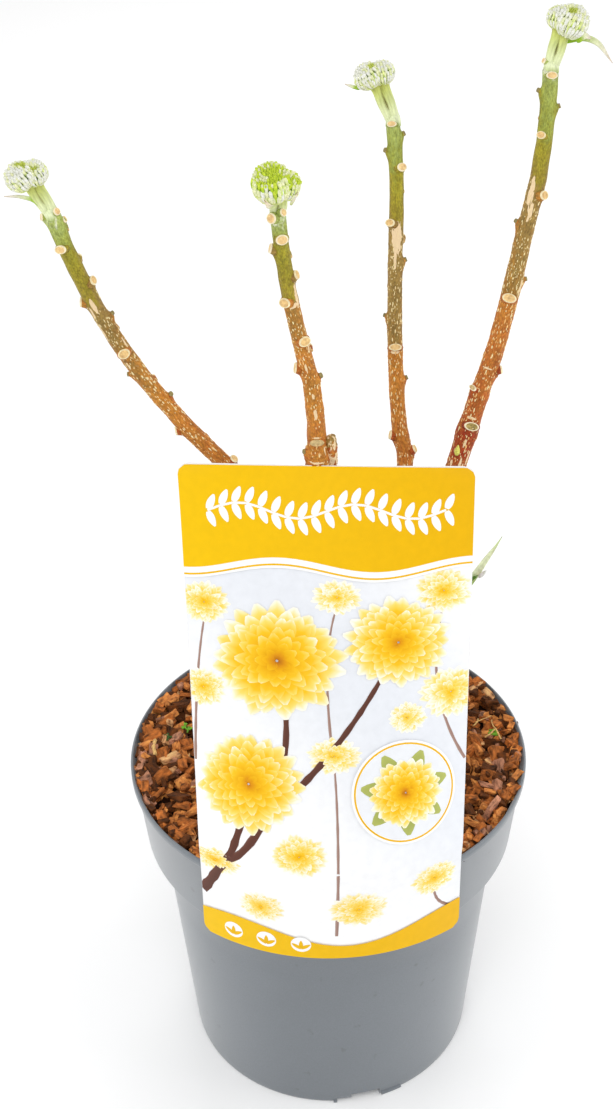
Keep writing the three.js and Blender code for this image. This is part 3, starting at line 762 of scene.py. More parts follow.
stem_bark = new_material("stem_bark", (160, 120, 60), 0.55, 0.2)
grain = kept_mark(stem_bark, "grain", "Vector")
age = kept_mark(stem_bark, "age")
fibres = bark_noise(2200, 4, 0.4)
blur = reckon(stem_bark, "MULTIPLY", bark_noise(700, 5, 0.5), AGE_BLUR)
blurred_age = reckon(stem_bark, "ADD", reckon(stem_bark, "SUBTRACT", age, AGE_BLUR / 2), blur)
old = spread_over(stem_bark, age, 0.58, 0.76)
flush = reckon(stem_bark, "MULTIPLY", spread_over(stem_bark, bark_noise(330, 4, 0.35), 0.5, 0.68), old)
flush = reckon(stem_bark, "MULTIPLY", flush, FLUSH_SHARE)
aged = laid_over(stem_bark, add_ramp(stem_bark, blurred_age, BARK_AGES), FLUSHED_BARK, flush)
aged = add_shade(stem_bark, aged, fibres, 0.68, 1.3)
aged = add_shade(stem_bark, aged, bark_noise(900, 3, 0.6), 0.8, 1.18)
aged = add_shade(stem_bark, aged, bark_noise(240, 4, 0.4), 0.84, 1.14)
torn = reckon(stem_bark, "MULTIPLY", bark_noise(1100, 5, 0.3), TEAR)
bared = spread_over(stem_bark, reckon(stem_bark, "ADD", torn, kept_mark(stem_bark, "peel")), 1.03, 1.1)
set_colour(stem_bark, laid_over(stem_bark, aged, PEELED_BARK, bared))
add_bump(stem_bark, fibres, 0.0006)


# The trunk is the old leading stem. It flares where it enters the mix and is a little swollen at the
# fork where it was pruned, with a short cut spur beside the front stem.
TRUNK_PATH = ((3, 6.4, 161.6), (3, 2.5, 205), (1.6, -5, 262), (0.2, -12.5, 315), (-0.9, -17.6, 345))
TRUNK_RADII = (9.3 * MM, 5.3 * MM)
TRUNK_SUNK = 5 * MM
ROOT_FLARE = 5 * MM
ROOT_FLARE_HEIGHT = 7 * MM
ROOT_RIDGES = 4
RIDGE_DEPTH = 0.25
KNUCKLE = 0.7 * MM
KNUCKLE_HEIGHT = 6.5 * MM
SPUR_PATH = ((1.8, -17.2, 340), (2.9, -19, 350), (2.6, -21.4, 362.6))
SPUR_RADII = (3 * MM, 2.1 * MM)
SPUR_WORN = 1.1 * MM
SPUR_CRINKLE = 0.35 * MM
UNEVENNESS = 0.5 * MM
BUMP_LENGTH = 7 * MM
RIB_LENGTH = 30 * MM
RIB_CROWDING = 3
RIB_DEPTH = 0.6
TRUNK_SIDES = 56
RING_STEP = 0.5 * MM


def uneven(distance, side, depth, seed):
    """A small rise or dip that makes a limb less than round and gives it faint ribs along its length."""
    turn = math.radians(side)
    around = Vector((math.cos(turn), math.sin(turn), distance / BUMP_LENGTH)) + Vector((seed, 0, 0))
    crowded = (math.cos(turn) * RIB_CROWDING, math.sin(turn) * RIB_CROWDING)
    ribs = Vector((*crowded, distance / RIB_LENGTH + seed))
    return depth * (noise.noise(around) + RIB_DEPTH * noise.noise(ribs))


trunk_line = smooth_line(TRUNK_PATH)
trunk_length = trunk_line[1][-1]


def trunk_radius(distance, side):
    """The trunk tapers upwards from a flared foot to a swollen top."""
    taper = TRUNK_RADII[0] + (TRUNK_RADII[1] - TRUNK_RADII[0]) * distance / trunk_length
    buttress = 1 + RIDGE_DEPTH * math.sin(math.radians(side * ROOT_RIDGES))
    flare = ROOT_FLARE * buttress * math.exp((TRUNK_SUNK - distance) / ROOT_FLARE_HEIGHT)
    knuckle = KNUCKLE * math.exp(-(((trunk_length - KNUCKLE_HEIGHT - distance) / KNUCKLE_HEIGHT) ** 2))
    return taper + flare + knuckle + uneven(distance, side, UNEVENNESS, 3)


trunk_marks = {
    "age": lambda distance, side: 0.93 + 0.07 * noise.noise(Vector((distance * 60, side / 60, 0))),
    "peel": lambda distance, side: 0,
}
bm = tube(trunk_line, TRUNK_SIDES, RING_STEP, trunk_radius, trunk_marks)
trunk = finished(bm, "trunk_bark", [stem_bark])
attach(trunk, "root")
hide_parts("trunk")

spur_line = smooth_line(SPUR_PATH)


def narrowed(left, least):
    """How a tube narrows to a round end, as what is left of the end's length goes from 1 to 0."""
    return math.sqrt(max(least, left * (2 - left)))


def spur_radius(distance, side):
    """The spur is crinkled and narrows to a cut end that is worn round."""
    share = distance / spur_line[1][-1]
    worn = min(1, (spur_line[1][-1] - distance) / SPUR_WORN)
    radius = SPUR_RADII[0] + (SPUR_RADII[1] - SPUR_RADII[0]) * share
    turn = math.radians(side)
    crinkle = noise.noise(Vector((distance * 900, math.cos(turn) * 2, math.sin(turn) * 2)))
    rough = uneven(distance, side, UNEVENNESS, 8)
    return radius * narrowed(worn, 0.05) + SPUR_CRINKLE * crinkle + rough


def spur_age(distance, side):
    """The spur is grey-green at its weathered end and flushed with red and orange below."""
    left = (spur_line[1][-1] - distance) / MM
    mix = noise.noise(Vector((distance * 500, side / 30, 4)))
    return (0.54 if left < 4.5 else 0.82) + 0.26 * mix


def spur_peel(distance, side):
    """The spur's thin skin has gone in streaks on its lower part."""
    left = (spur_line[1][-1] - distance) / MM
    mix = noise.noise(Vector((distance * 300, side / 22, 9)))
    return (0.42 if left < 3 else 0.36 if left < 8 else 0.56) + 0.34 * mix


bm = tube(spur_line, 36, 0.3 * MM, spur_radius, {"age": spur_age, "peel": spur_peel})
spur = finished(bm, "cut_spur", [stem_bark])
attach(spur, "root")


# Four long stems fork from the trunk. Each leaf that fell left a raised round scar on a shoulder of
# bark, and pale breathing pores speckle the brown part.

# Places and radii are in millimetres. A scar, age, swell or peel starts with its distance down from the
# tip, and a side is in degrees: 0 in front, 90 on the right, 180 behind.
STEMS = {
    "bough_left": {
        "path": (
            (1.2, -8, 273), (-15.5, -8, 304), (-43.5, -8, 342), (-58, -11, 362),
            (-75, -16, 390.5), (-86.5, -20, 415), (-96, -25, 442), (-102.5, -30, 467.5),
        ),
        "radii": (4.6, 3.4, 3.1),
        "scars": (
            (0.5, 62), (2, -80), (6, 95), (11, 170), (16, -15), (26, 160), (36, 85), (44, -90), (54, 95),
            (62, 185), (71, 10), (83, -90), (92, 175), (101, 90), (118, -90), (130, 180), (145, 90),
        ),
        "ages": (
            (0, 0.03), (6, 0.06), (15.4, 0.15), (16.4, 0.25), (30, 0.36), (43, 0.42), (46, 0.5),
            (56, 0.56), (70, 0.6), (80, 0.64), (110, 0.72), (150, 0.78), (224, 0.88),
        ),
        "swells": (),
        "crinkled": 999,
        "peels": ((44, 5, 5, 26), (57, -45, 10, 16), (66, 60, 4, 12), (47, -30, 4, 14), (76, -20, 3, 9)),
        "dry": (54, 83, 101),
    },
    "bough_front": {
        "path": (
            (-2.8, -18.6, 346.2), (-3, -20.5, 358), (-4.8, -25, 386.5), (-8.8, -29, 409),
            (-13.4, -34, 436.5), (-15.4, -37, 454.8), (-16.6, -40, 470.4),
        ),
        "radii": (4.1, 3.2, 2.9),
        "scars": (
            (1.3, -36), (-0.5, 48), (10.8, 12), (17, -90), (22, 170), (30, 85), (40, -30), (50, 185),
            (60, 30), (68, 160), (75, -90), (81, 90), (98, 180), (112, 0), (120, -80),
        ),
        "ages": (
            (0, 0), (3, 0.03), (7, 0.1), (11.5, 0.16), (12.5, 0.26), (39, 0.42), (40.5, 0.62), (60, 0.66),
            (72, 0.76), (80, 0.68), (104, 0.74), (111, 0.74), (113, 0.72), (127, 0.74),
        ),
        "swells": ((119, 0.5, 4),),
        "crinkled": 114,
        "peels": (
            (37, 62, 9, 24), (41, 20, 1.6, 50), (62, 55, 6, 12), (85, 150, 7, 20), (67, 0, 1.7, 9),
            (72, 0, 3.6, 12), (87, 3, 2.2, 13), (96, 5, 3.8, 16), (108.4, 0, 0.6, 44), (116, 40, 3.6, 9),
            (119, 75, 4, 16), (121, -10, 0.8, 50), (124, 30, 0.8, 60),
        ),
        "dry": (81, 120),
    },
    "bough_back": {
        "path": (
            (2, -3, 247), (15, 2, 268), (29.5, 8, 296), (35.3, 12, 327), (32.5, 16, 347.7),
            (30.7, 23, 378.4), (30.6, 31, 417), (31, 39, 449), (29.4, 44, 473),
        ),
        "radii": (4.3, 3.3, 2.9),
        "scars": (
            (2, -10), (7, 90), (13, -80), (20, 35), (30, 170), (43, -40), (50, 150), (59, 90),
            (70, 190), (83, -90), (96, 0), (102, 180), (111, 90), (125, 170), (136, -85), (144, 85),
        ),
        "ages": (
            (0, 0.06), (20, 0.16), (22, 0.26), (43, 0.42), (45, 0.46), (58, 0.52), (95, 0.58),
            (97, 0.66), (100, 0.7), (150, 0.78), (239, 0.9),
        ),
        "swells": (),
        "crinkled": 999,
        "peels": ((48, 10, 10, 58), (57, -5, 6, 16), (70, 120, 8, 18), (61, -160, 5, 16), (97, 0, 0.8, 60)),
        "dry": (7, 13, 59, 83, 111),
    },
    "bough_right": {
        "path": (
            (2.5, -1, 228), (21, -2, 254), (41, -1, 289), (53.5, 1, 322), (58.7, 3, 339),
            (64.9, 5, 362.6), (71.4, 8, 384), (77.9, 13, 411.2), (83.5, 18, 439), (87, 21, 455),
            (89.3, 24, 474), (90.5, 27, 501),
        ),
        "radii": (5.8, 4.1, 3.1),
        "scars": (
            (-1, -80), (4, 0), (11, -90), (17, 88), (22, 180), (28, -30), (40, 170), (52, 45), (65, -90),
            (76, 185), (88, 90), (96, -10), (110, 175), (128, 90), (138, -60), (146, 180), (154, 0),
            (165.5, -30),
        ),
        "ages": (
            (0, 0), (3, 0.02), (7, 0.1), (28, 0.17), (30, 0.28), (45, 0.42), (52, 0.5), (62, 0.55),
            (95, 0.6), (97.5, 0.7), (104, 0.77), (136, 0.83), (140, 0.86), (154, 0.86), (156, 0.97),
            (167, 0.97), (174, 0.84), (293, 0.96),
        ),
        "swells": ((157, 0.75, 4.5), (139, 0.3, 2)),
        "crinkled": 172,
        "peels": (
            (50, -38, 9, 30), (58, -10, 6, 22), (90, 52, 6, 16), (60, 150, 9, 20), (126, -20, 0.6, 55),
            (149, -10, 0.9, 50), (152.4, 10, 0.6, 80),
            (161, -5, 3.8, 9), (168, 45, 6, 10), (171, 5, 5, 9), (172, -45, 3, 12), (173, 25, 3, 9),
        ),
        "dry": (11, 17, 65, 88),
    },
}
STEM_SIDES = 44
STEM_UNEVENNESS = 0.25 * MM
BASE_SWELL = 1.4 * MM
BASE_SWELL_LENGTH = 9 * MM
SCAR_STAND = 1.5 * MM
SCAR_RISE = 0.35
SCAR_TILT = 0.42
SCAR_RADIUS = 2.3 * MM
SCAR_SIZES = (0.94, 1.1)
SCAR_AGED_BY = 0.05
SCAR_AGE_BELOW = 1.5 * MM
SCAR_SQUASH = (0.68, 0.84)
DRY_SIZE = 0.54
AGED_FROM = 25
SHOULDER = 1.25 * MM
SHOULDER_ABOVE = 1.3 * MM
SHOULDER_BELOW = 3.4 * MM
SHOULDER_HALF = 1.75 * MM
SHOULDER_DROP = 1.1 * MM
SHOULDER_SPAN = (-11 * MM, 5 * MM)
SCAR_SHOULDER_AGE_AND_SHADE = 0.1
SHOULDER_SHADE_REACH = 5
SHOULDER_SHADE_HALF = 38
DOWNY_TIP = 12
# An odd scar's row gives its kind, half its width, half its height and how far it stands out.
ODD_SCARS = {
    ("bough_left", 0.5): ("plain", 1.5, 1.5, 0.3),
    ("bough_left", 2): ("plain", 1.5, 1.3, 1),
    ("bough_left", 6): ("plain", 1.6, 1.2, 1),
    ("bough_front", 1.3): ("plain", 2, 2, 1.3),
    ("bough_front", -0.5): ("plain", 1.3, 1.6, 0.5),
    # The front stem's foot scar is beige all over, painted shade, with a thin cream peel just above it for
    # the lit top of its rim.
    ("bough_front", 112): ("painted_shade", 2.9, 1.4, 0.9),
    ("bough_back", 2): ("plain", 2, 1.2, 1.3),
    ("bough_back", 96): ("plain", 2.7, 1.5, 1.2),
    ("bough_right", -1): ("plain", 1.2, 1.1, 0.4),
    ("bough_right", 4): ("plain", 2.2, 1.4, 1.35),
    ("bough_right", 28): ("plain", 1.9, 1.5, 1.3),
    ("bough_right", 96): ("plain", 2.9, 1.9, 1.5),
    ("bough_right", 138): ("shaded", 2.1, 1.1, 1.2),
    ("bough_right", 154): ("hollow", 3.2, 1.8, 1.7),
}
YOUNG_BUD = ("bough_right", 165.5)
CRINKLE = 0.45 * MM
CRINKLE_AGE = 0.12
PEEL_STRENGTH = 0.9
EDGE_SHADE_AGE = 0.11
PORE_AREA = 3.3
PORE_AGE = 0.46
SMOOTH_REACH = (104, 111)
TAN_PORE_AGE = 0.7
PORE_SIZES = ((0.15, 0.27), (0.3, 0.85))
BIG_PORE_SIZES = ((0.24, 0.42), (0.75, 1.5))
BIG_PORE_SHARE = 0.22
PORE_STAND = 0.16 * MM
YOUNG_PORE_AGE = 0.64
YOUNG_PORE_SIZE = 0.78
STEM_END = 2 * MM


def stem_radius(stem, distance):
    """The stem's plain radius: one taper over its lower half and another over its upper half."""
    foot, middle, tip = [radius * MM for radius in stem["radii"]]
    share = distance / stem["length"]
    lower, upper = foot + (middle - foot) * share * 2, middle + (tip - middle) * (share * 2 - 1)
    swell = BASE_SWELL * math.exp(-distance / BASE_SWELL_LENGTH)
    return (lower if share < 0.5 else upper) + swell


def crinkles(from_tip, side):
    """The fine rings of bark that bunch up where a stem leaves its parent, from -1 to 1."""
    turn = math.radians(side)
    return noise.noise(Vector((math.cos(turn) * 1.6, math.sin(turn) * 1.6, from_tip * 0.85)))


def stem_skin(stem, distance, side):
    """The stem's radius with the shoulders under its scars and the unevenness of its bark."""
    radius = stem_radius(stem, distance)
    for from_tip, scar_side in stem["scars"]:
        up = distance - (stem["length"] - from_tip * MM + SHOULDER_DROP)
        if SHOULDER_SPAN[0] < up < SHOULDER_SPAN[1]:
            sideways = turn_between(side, scar_side) * math.pi / 180 * radius
            reach = SHOULDER_ABOVE if up > 0 else SHOULDER_BELOW
            radius += SHOULDER * math.exp(-((up / reach) ** 2) - (sideways / SHOULDER_HALF) ** 2)
    radius += uneven(distance, side, STEM_UNEVENNESS, stem["seed"])
    from_tip = (stem["length"] - distance) / MM
    for middle, extra, reach in stem["swells"]:
        radius += extra * MM * math.exp(-(((from_tip - middle) / reach) ** 2))
    if from_tip > stem["crinkled"]:
        radius += CRINKLE * crinkles(from_tip, side)
    left = min(1, max(0, stem["length"] - distance) / STEM_END)
    return radius * narrowed(left, 0.08)


def stem_age(stem, distance, side):
    """The bark's age, raised for painted shade at the stem's sides, and below the scars for older bark and
    painted shade.
    """
    from_tip = (stem["length"] - distance) / MM
    turn = math.radians(side)
    from_tip += 1.6 * noise.noise(Vector((math.cos(turn), math.sin(turn), from_tip / 9)))
    off_tip = min(1, max(0, from_tip) / DOWNY_TIP)
    age = float(np.interp(from_tip, *zip(*stem["ages"])))
    # Painted edge shade: the left and right sides, seen from the front, are made older and so browner.
    age += EDGE_SHADE_AGE * abs(math.sin(turn)) ** 3 * off_tip * (1 - age)
    # Below each scar the bark is made older and browner: partly the shoulder's own older bark, partly painted
    # shade under the scar.
    for scar_from_tip, scar_side in stem["scars"]:
        below = from_tip - scar_from_tip
        beside = abs(turn_between(side, scar_side))
        if -1 < below < SHOULDER_SHADE_REACH and beside < SHOULDER_SHADE_HALF:
            near = (1 - below / SHOULDER_SHADE_REACH) * (1 - beside / SHOULDER_SHADE_HALF)
            age += SCAR_SHOULDER_AGE_AND_SHADE * near * off_tip
    if from_tip > stem["crinkled"]:
        age += CRINKLE_AGE * crinkles(from_tip, side)
    return age


def stem_peel(stem, distance, side):
    """How surely the outer bark has peeled here, from 0 to 1."""
    from_tip = (stem["length"] - distance) / MM
    peeled = 0
    for middle, at_side, half_length, half_width in stem["peels"]:
        beside = abs(turn_between(side, at_side))
        peeled = max(peeled, 1 - ((from_tip - middle) / half_length) ** 2 - (beside / half_width) ** 2)
    return PEEL_STRENGTH * peeled


# A skin's row gives its colour, roughness, grain, mottling and relief. A kind's row gives the skins of
# its face and rim, and how hollow it is.
SCAR_SKINS = {
    "scar_cork": ((252, 232, 198), 0.75, 900, 0.06, 0.0002),
    "scar_face": ((246, 200, 142), 0.8, 700, 0.12, 0.0003),
    "stem_bark": None,
    "shaded_scar_face": ((206, 180, 128), 0.8, 900, 0.16, 0.0003),
    "hollow_scar_face": ((158, 138, 82), 0.8, 900, 0.34, 0.0003),
    "dry_scar_face": ((146, 132, 84), 0.8, 900, 0.22, 0.0003),
    "aged_scar_face": ((234, 190, 130), 0.8, 700, 0.14, 0.0003),
    "aged_scar_cork": ((248, 226, 182), 0.75, 900, 0.08, 0.0002),
}
SCAR_KINDS = {
    "plain": ("scar_face", "scar_cork", 0),
    "shaded": ("shaded_scar_face", "scar_cork", 0),
    "dry": ("dry_scar_face", "dry_scar_face", 0),
    "hollow": ("hollow_scar_face", "scar_cork", 0.2),
    # This kind is painted shade: its face and rim are both the beige of a shaded scar face.
    "painted_shade": ("shaded_scar_face", "shaded_scar_face", 0),
    "aged": ("aged_scar_face", "aged_scar_cork", 0),
}
SCAR_SIDES = 20
FACE_EDGE = 0.74
SKIRT_TOP = -0.05


def scar_shape(face, rim, hollow):
    """A scar one unit in radius: a cork rim round a slightly hollow face, on a skirt that meets the bark."""
    bm = turned(
        [
            (0, 0.12 - hollow), (0.3, 0.14 - hollow), (0.6, 0.08 - hollow * 0.7), (0.8, 0.14),
            (0.9, 0.2), (1, 0.1), (1.04, -0.12), (1.16, -0.5), (1.3, -0.9),
        ],
        SCAR_SIDES,
    )
    fill_holes(bm)
    face_outwards(bm)
    face, rim, bark = [list(SCAR_SKINS).index(skin) for skin in (face, rim, "stem_bark")]
    for side in bm.faces:
        at = side.calc_center_median()
        side.material_index = face if at.xy.length < FACE_EDGE else rim if at.z > SKIRT_TOP else bark
    return small_shape(bm)


def pore_shape():
    """A breathing pore: a flat ball one unit in radius."""
    bm = bmesh.new()
    bmesh.ops.create_icosphere(bm, subdivisions=1, radius=1)
    return small_shape(bm)


def set_on(at, out, up, size):
    """The matrix that stands a shape at a place with its Z axis outwards and its Y axis near up."""
    across = up.cross(out).normalized()
    turn = Matrix((across, out.cross(across), out)).transposed().to_4x4()
    return Matrix.Translation(at) @ turn @ Matrix.Diagonal((*size, 1))


roll = random.Random(21)
scar_shapes = {kind: scar_shape(*skins) for kind, skins in SCAR_KINDS.items()}
pore = pore_shape()
scars, scar_ages, cream_pores, tan_pores = [], [], [], []
for seed, (name, stem) in enumerate(STEMS.items()):
    stem["line"] = smooth_line(stem["path"])
    stem["length"] = stem["line"][1][-1]
    stem["seed"] = seed * 5
    marks = {
        "age": lambda distance, side, stem=stem: stem_age(stem, distance, side),
        "peel": lambda distance, side, stem=stem: stem_peel(stem, distance, side),
    }
    bm = tube(stem["line"], STEM_SIDES, RING_STEP, lambda d, s, stem=stem: stem_skin(stem, d, s), marks)
    made = finished(bm, name + "_bark", [stem_bark])
    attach(made, "root")
    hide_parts(name)

    for from_tip, side in stem["scars"]:
        if (name, from_tip) == YOUNG_BUD:
            continue
        distance = stem["length"] - from_tip * MM
        at, along, front, right = station(stem["line"], distance)
        out = outwards(front, right, side)
        lean = (out + along * SCAR_RISE).normalized()
        face = (out + along * SCAR_TILT).normalized()
        kind = "dry" if from_tip in stem["dry"] else "aged" if from_tip > AGED_FROM else "plain"
        wide = SCAR_RADIUS * roll.uniform(*SCAR_SIZES) * (DRY_SIZE if kind == "dry" else 1)
        tall = wide * roll.uniform(*SCAR_SQUASH)
        stand = SCAR_STAND
        if (name, from_tip) in ODD_SCARS:
            odd, *sizes = ODD_SCARS[name, from_tip]
            kind = kind if odd == "plain" else odd
            wide, tall, stand = [size * MM for size in sizes]
        middle = at + lean * (stem_radius(stem, distance) + stand)
        put = set_on(middle, face, along, (wide, tall, SCAR_RADIUS))
        scars.append((scar_shapes[kind], put))
        # The scar's skirt takes the bark's age just below it, painted shade included, and a little more.
        scar_ages.append(stem_age(stem, distance - SCAR_AGE_BELOW, side) + SCAR_AGED_BY)

    count = round(stem["length"] / MM * math.tau * stem["radii"][1] / PORE_AREA)
    for _ in range(count):
        distance = roll.uniform(0, stem["length"])
        side = roll.uniform(0, 360)
        age = stem_age(stem, distance, side)
        from_tip = (stem["length"] - distance) / MM
        smooth = name == "bough_front" and SMOOTH_REACH[0] < from_tip < SMOOTH_REACH[1]
        if age < PORE_AGE + roll.uniform(0, 0.05) or smooth:
            continue
        at, along, front, right = station(stem["line"], distance)
        out = outwards(front, right, side)
        wide, tall = [roll.uniform(*reach) * MM for reach in PORE_SIZES]
        if roll.random() < BIG_PORE_SHARE:
            wide, tall = [roll.uniform(*reach) * MM for reach in BIG_PORE_SIZES]
        if age < YOUNG_PORE_AGE:
            wide, tall = wide * YOUNG_PORE_SIZE, tall * YOUNG_PORE_SIZE
        put = set_on(at + out * stem_skin(stem, distance, side), out, along, (wide, tall, PORE_STAND))
        tan = age > TAN_PORE_AGE and roll.random() < 0.5
        (tan_pores if tan else cream_pores).append((pore, put))

scar_skins = [mottled(name, *skin, 0.2) if skin else stem_bark for name, skin in SCAR_SKINS.items()]
cream_pore = mottled("cream_pore", (252, 222, 168), 0.8, 900, 0.08, 0.0001, 0.2)
tan_pore = mottled("tan_pore", (244, 186, 118), 0.8, 900, 0.1, 0.0001, 0.2)
for name, places, materials, ages in (
    ("leaf_scars", scars, scar_skins, scar_ages),
    ("cream_pores", cream_pores, [cream_pore], ()),
    ("tan_pores", tan_pores, [tan_pore], ()),
):
    made = crowd(name, places, materials, ages=ages)
    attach(made, "root")


# One bud on the old wood has woken: a pointed yellow-green bud low on the right stem. It stands out of
# its scar and leans up along the bark.
YOUNG_BUD_OUTLINE = [(0, 0), (0.7, 0.04), (1, 0.28), (0.8, 0.55), (0.36, 0.84), (0, 1)]
YOUNG_BUD_SIZE = (1.35 * MM, 1.35 * MM, 6.2 * MM)
YOUNG_BUD_SUNK = 0.2 * MM
YOUNG_BUD_DROP = 2 * MM
YOUNG_BUD_LEAN = 0.42

name, from_tip = YOUNG_BUD
stem = STEMS[name]
distance = stem["length"] - from_tip * MM
at, along, front, right = station(stem["line"], distance)
out = outwards(front, right, dict(stem["scars"])[from_tip])
bm = turned(YOUNG_BUD_OUTLINE, 12)
foot = at + out * (stem_radius(stem, distance) - YOUNG_BUD_SUNK) - along * YOUNG_BUD_DROP
put = set_on(foot, (along + out * YOUNG_BUD_LEAN).normalized(), out, YOUNG_BUD_SIZE)
bmesh.ops.transform(bm, matrix=put, verts=bm.verts)
waking = finished(bm, "waking_bud", [mottled("waking_bud", (224, 214, 104), 0.6, 900, 0.18, 0.0003, 0.3)])
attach(waking, "root")


# A head of buds ends each stem: two domes that grow together, each on its own short stalk. Long buds lie
# up the side of a dome like fingers, and short ones stand close on its crown round a green eye, all in
# silky down.

# A dome's row gives its middle, its radius and height, the way its eye looks and the eye's half angle.
# A bract's row gives its line and its width. All are in millimetres and degrees.
HEADS = {
    "head_left": {
        "stem": "bough_left",
        "domes": (
            ((-111.9, -33, 483.1), 6.2, 5.8, (0.05, -0.1, 1), 20),
            ((-107.3, -30.8, 483.3), 5.7, 5.4, (0.13, -0.63, 0.76), 16),
        ),
        "lime": False,
        "bracts": (
            (((-105.2, -31.5, 470.5), (-108.5, -32.5, 474), (-112.6, -33, 475.4), (-118.8, -33, 475.6)), 1.5),
        ),
    },
    "head_front": {
        "stem": "bough_front",
        "domes": (
            ((-18.3, -42.6, 483.2), 7.9, 7.9, (0.1, -0.55, 0.83), 24),
            ((-12.6, -41.8, 481.9), 5, 6, (0.27, -0.75, 0.6), 16),
        ),
        "lime": True,
        "bracts": (
            (((-18.1, -45.5, 475.6), (-19.6, -48.7, 477.6), (-20.9, -50.6, 480.4)), 2.1),
            (((-11.6, -42.6, 475), (-10.4, -43.8, 477.6), (-8.8, -45, 481)), 1.2),
        ),
    },
    "head_back": {
        "stem": "bough_back",
        "domes": (
            ((19.2, 45.4, 491.2), 6, 5.7, (0.2, -0.25, 0.94), 17),
            ((24.9, 47, 491.9), 5.4, 5.3, (0.3, 0.6, 0.7), 14),
        ),
        "lime": False,
        "bracts": ((((15.8, 45, 486.4), (13, 44.4, 487.6), (9.7, 43.8, 488.9)), 1.3),),
    },
    "head_right": {
        "stem": "bough_right",
        "domes": (
            ((92.5, 29.6, 519.2), 5, 4.9, (-0.5, 0.3, 0.8), 14),
            ((97.4, 28.6, 518), 7, 6.9, (0.04, -0.44, 0.9), 15),
        ),
        "lime": False,
        "bracts": (
            (((95, 28.4, 510.4), (102, 28, 512), (107.5, 27.4, 510.4), (114.2, 26, 502.4)), 2.4),
            (((99.3, 26, 511.6), (102.2, 24.8, 513.8), (105, 25, 512.6)), 3),
        ),
    },
}
FINGER_DOME = 6
# A ring of long buds has a count, the angles of a bud's foot and tip below the top, and a depth.
FINGER_RINGS = {"low": (24, 162, 98, 0.91), "middle": (24, 128, 76, 0.9), "high": (21, 98, 54, 0.9)}
KIND_SHARES = {
    "olive": {"crown": (0, 0.72), "high": (0, 0.72), "middle": (0, 0.72), "low": (0, 0.72)},
    "lime": {"crown": (0.5, 0), "high": (0.34, 0.06), "middle": (0.1, 0.26), "low": (0, 0.5)},
}
RING_SHIFT = 0.3
FINGER_RADIUS = 0.71 * MM
FINGER_ROUND = 0.16
FINGER_FOOT = 0.45
FINGER_PARTS = (0.2, 0.62)
FINGER_JITTER = 0.15
FINGER_GROWTH = (0.94, 1.04)
BUD_OUTLINE = [
    (0, 0), (0.4, 0.02), (0.5, 0.3), (0.78, 0.62), (1, 0.82),
    (0.92, 0.93), (0.52, 1), (0.15, 0.995), (0, 0.98),
]
BUD_SIDES = 8
BUD_PARTS = (0.5, 0.86)
BUD_FULLNESS = (0.45, 0.1)
BUD_REACH = (0.8, 0.6)
CROWN_ANGLE = 62
EYE_EDGE = 9
EYE_FRAY = 9
BUD_SPACING = 1.35 * MM
BUD_ROWS = 0.866
SPIRAL_CROWDING = 1.2
GOLDEN_TURN = math.pi * (3 - math.sqrt(5))
HIDDEN_SHARE = 0.8
FOOT_DEPTH = 0.86
FOOT_SPREAD = 0.34
FOOT_PULL = 0.3
CORE_SHARE = 0.78
DIMPLE = 0.5 * MM
HAIRS_PER_BUD = 5
HAIR_LENGTH = (0.3, 0.6)
HAIR_FROM = (0.8, 0.99)
HAIR_SUNK = 0.97
HAIR_LEAN_OUT = (0.25, 0.9)
HAIR_LEAN_UP = (0.5, 1)
HAIR_GIRTHS = ((0.3, 0.5), (0.62, 0.78), (0.82, 1), (0.93, 0.92), (1, 0.52))
STALK_SIDES = 26
STALK_RADIUS = 1.8 * MM
STALK_RIB = 0.1 * MM
STALK_FLARE = 1.3 * MM
STALKS_APART = 1.3
STALK_FOOT_APART = 0.9
STALK_BEND_APART = 0.8
STALK_ENTRY = 0.35
STALK_UNEVENNESS = 0.12 * MM
COLLAR_REACH = 0.2
COLLAR_SHARE = 0.12
COLLAR_BLEND = 3.2 * MM
COLLAR_SIDES = 30
COLLAR_RADIUS = 3.16 * MM
COLLAR_UNEVENNESS = 0.2 * MM
COLLAR_SUNK = 2.2 * MM


def part_number(share, stops):
    """Which part of a bud a share of its length is in: 0 at its foot, 1 at its side or 2 at its tip."""
    return bisect.bisect(stops, share)


def bud_shape():
    """A bud one unit long and one unit in radius: a club with a blunt tip that is pinched shut."""
    bm = turned(BUD_OUTLINE, BUD_SIDES)
    for face in bm.faces:
        face.material_index = part_number(face.calc_center_median().z, BUD_PARTS)
    return small_shape(bm)


def finger_shape(foot_angle, tip_angle, depth):
    """A long bud that lies on a dome from one angle below its top to another, thickest near its tip."""
    angles = [math.radians(foot_angle + (tip_angle - foot_angle) * n / 4) for n in range(5)]
    axis = FINGER_DOME * depth
    line = smooth_line([(axis * math.sin(angle), 0, axis * math.cos(angle)) for angle in angles])
    long = line[1][-1]

    def finger_radius(distance, side):
        """A finger is thin at its foot."""
        share = distance / long
        thick = FINGER_FOOT + (1 - FINGER_FOOT) * share
        return FINGER_RADIUS * thick * narrowed(min(1, (1 - share) / FINGER_ROUND), 0.02)

    bm = tube(line, BUD_SIDES, RING_STEP, finger_radius)
    for face in bm.faces:
        at = face.calc_center_median()
        share = (foot_angle - math.degrees(math.atan2(at.x, at.z))) / (foot_angle - tip_angle)
        face.material_index = part_number(share, FINGER_PARTS)
    return small_shape(bm)


def hair_shape():
    """A hair one unit long: a thin three-sided spike."""
    bm = bmesh.new()
    bmesh.ops.create_cone(bm, segments=3, radius1=0.06, radius2=0.004, depth=1, cap_ends=True)
    bmesh.ops.translate(bm, verts=bm.verts, vec=(0, 0, 0.5))
    return small_shape(bm)


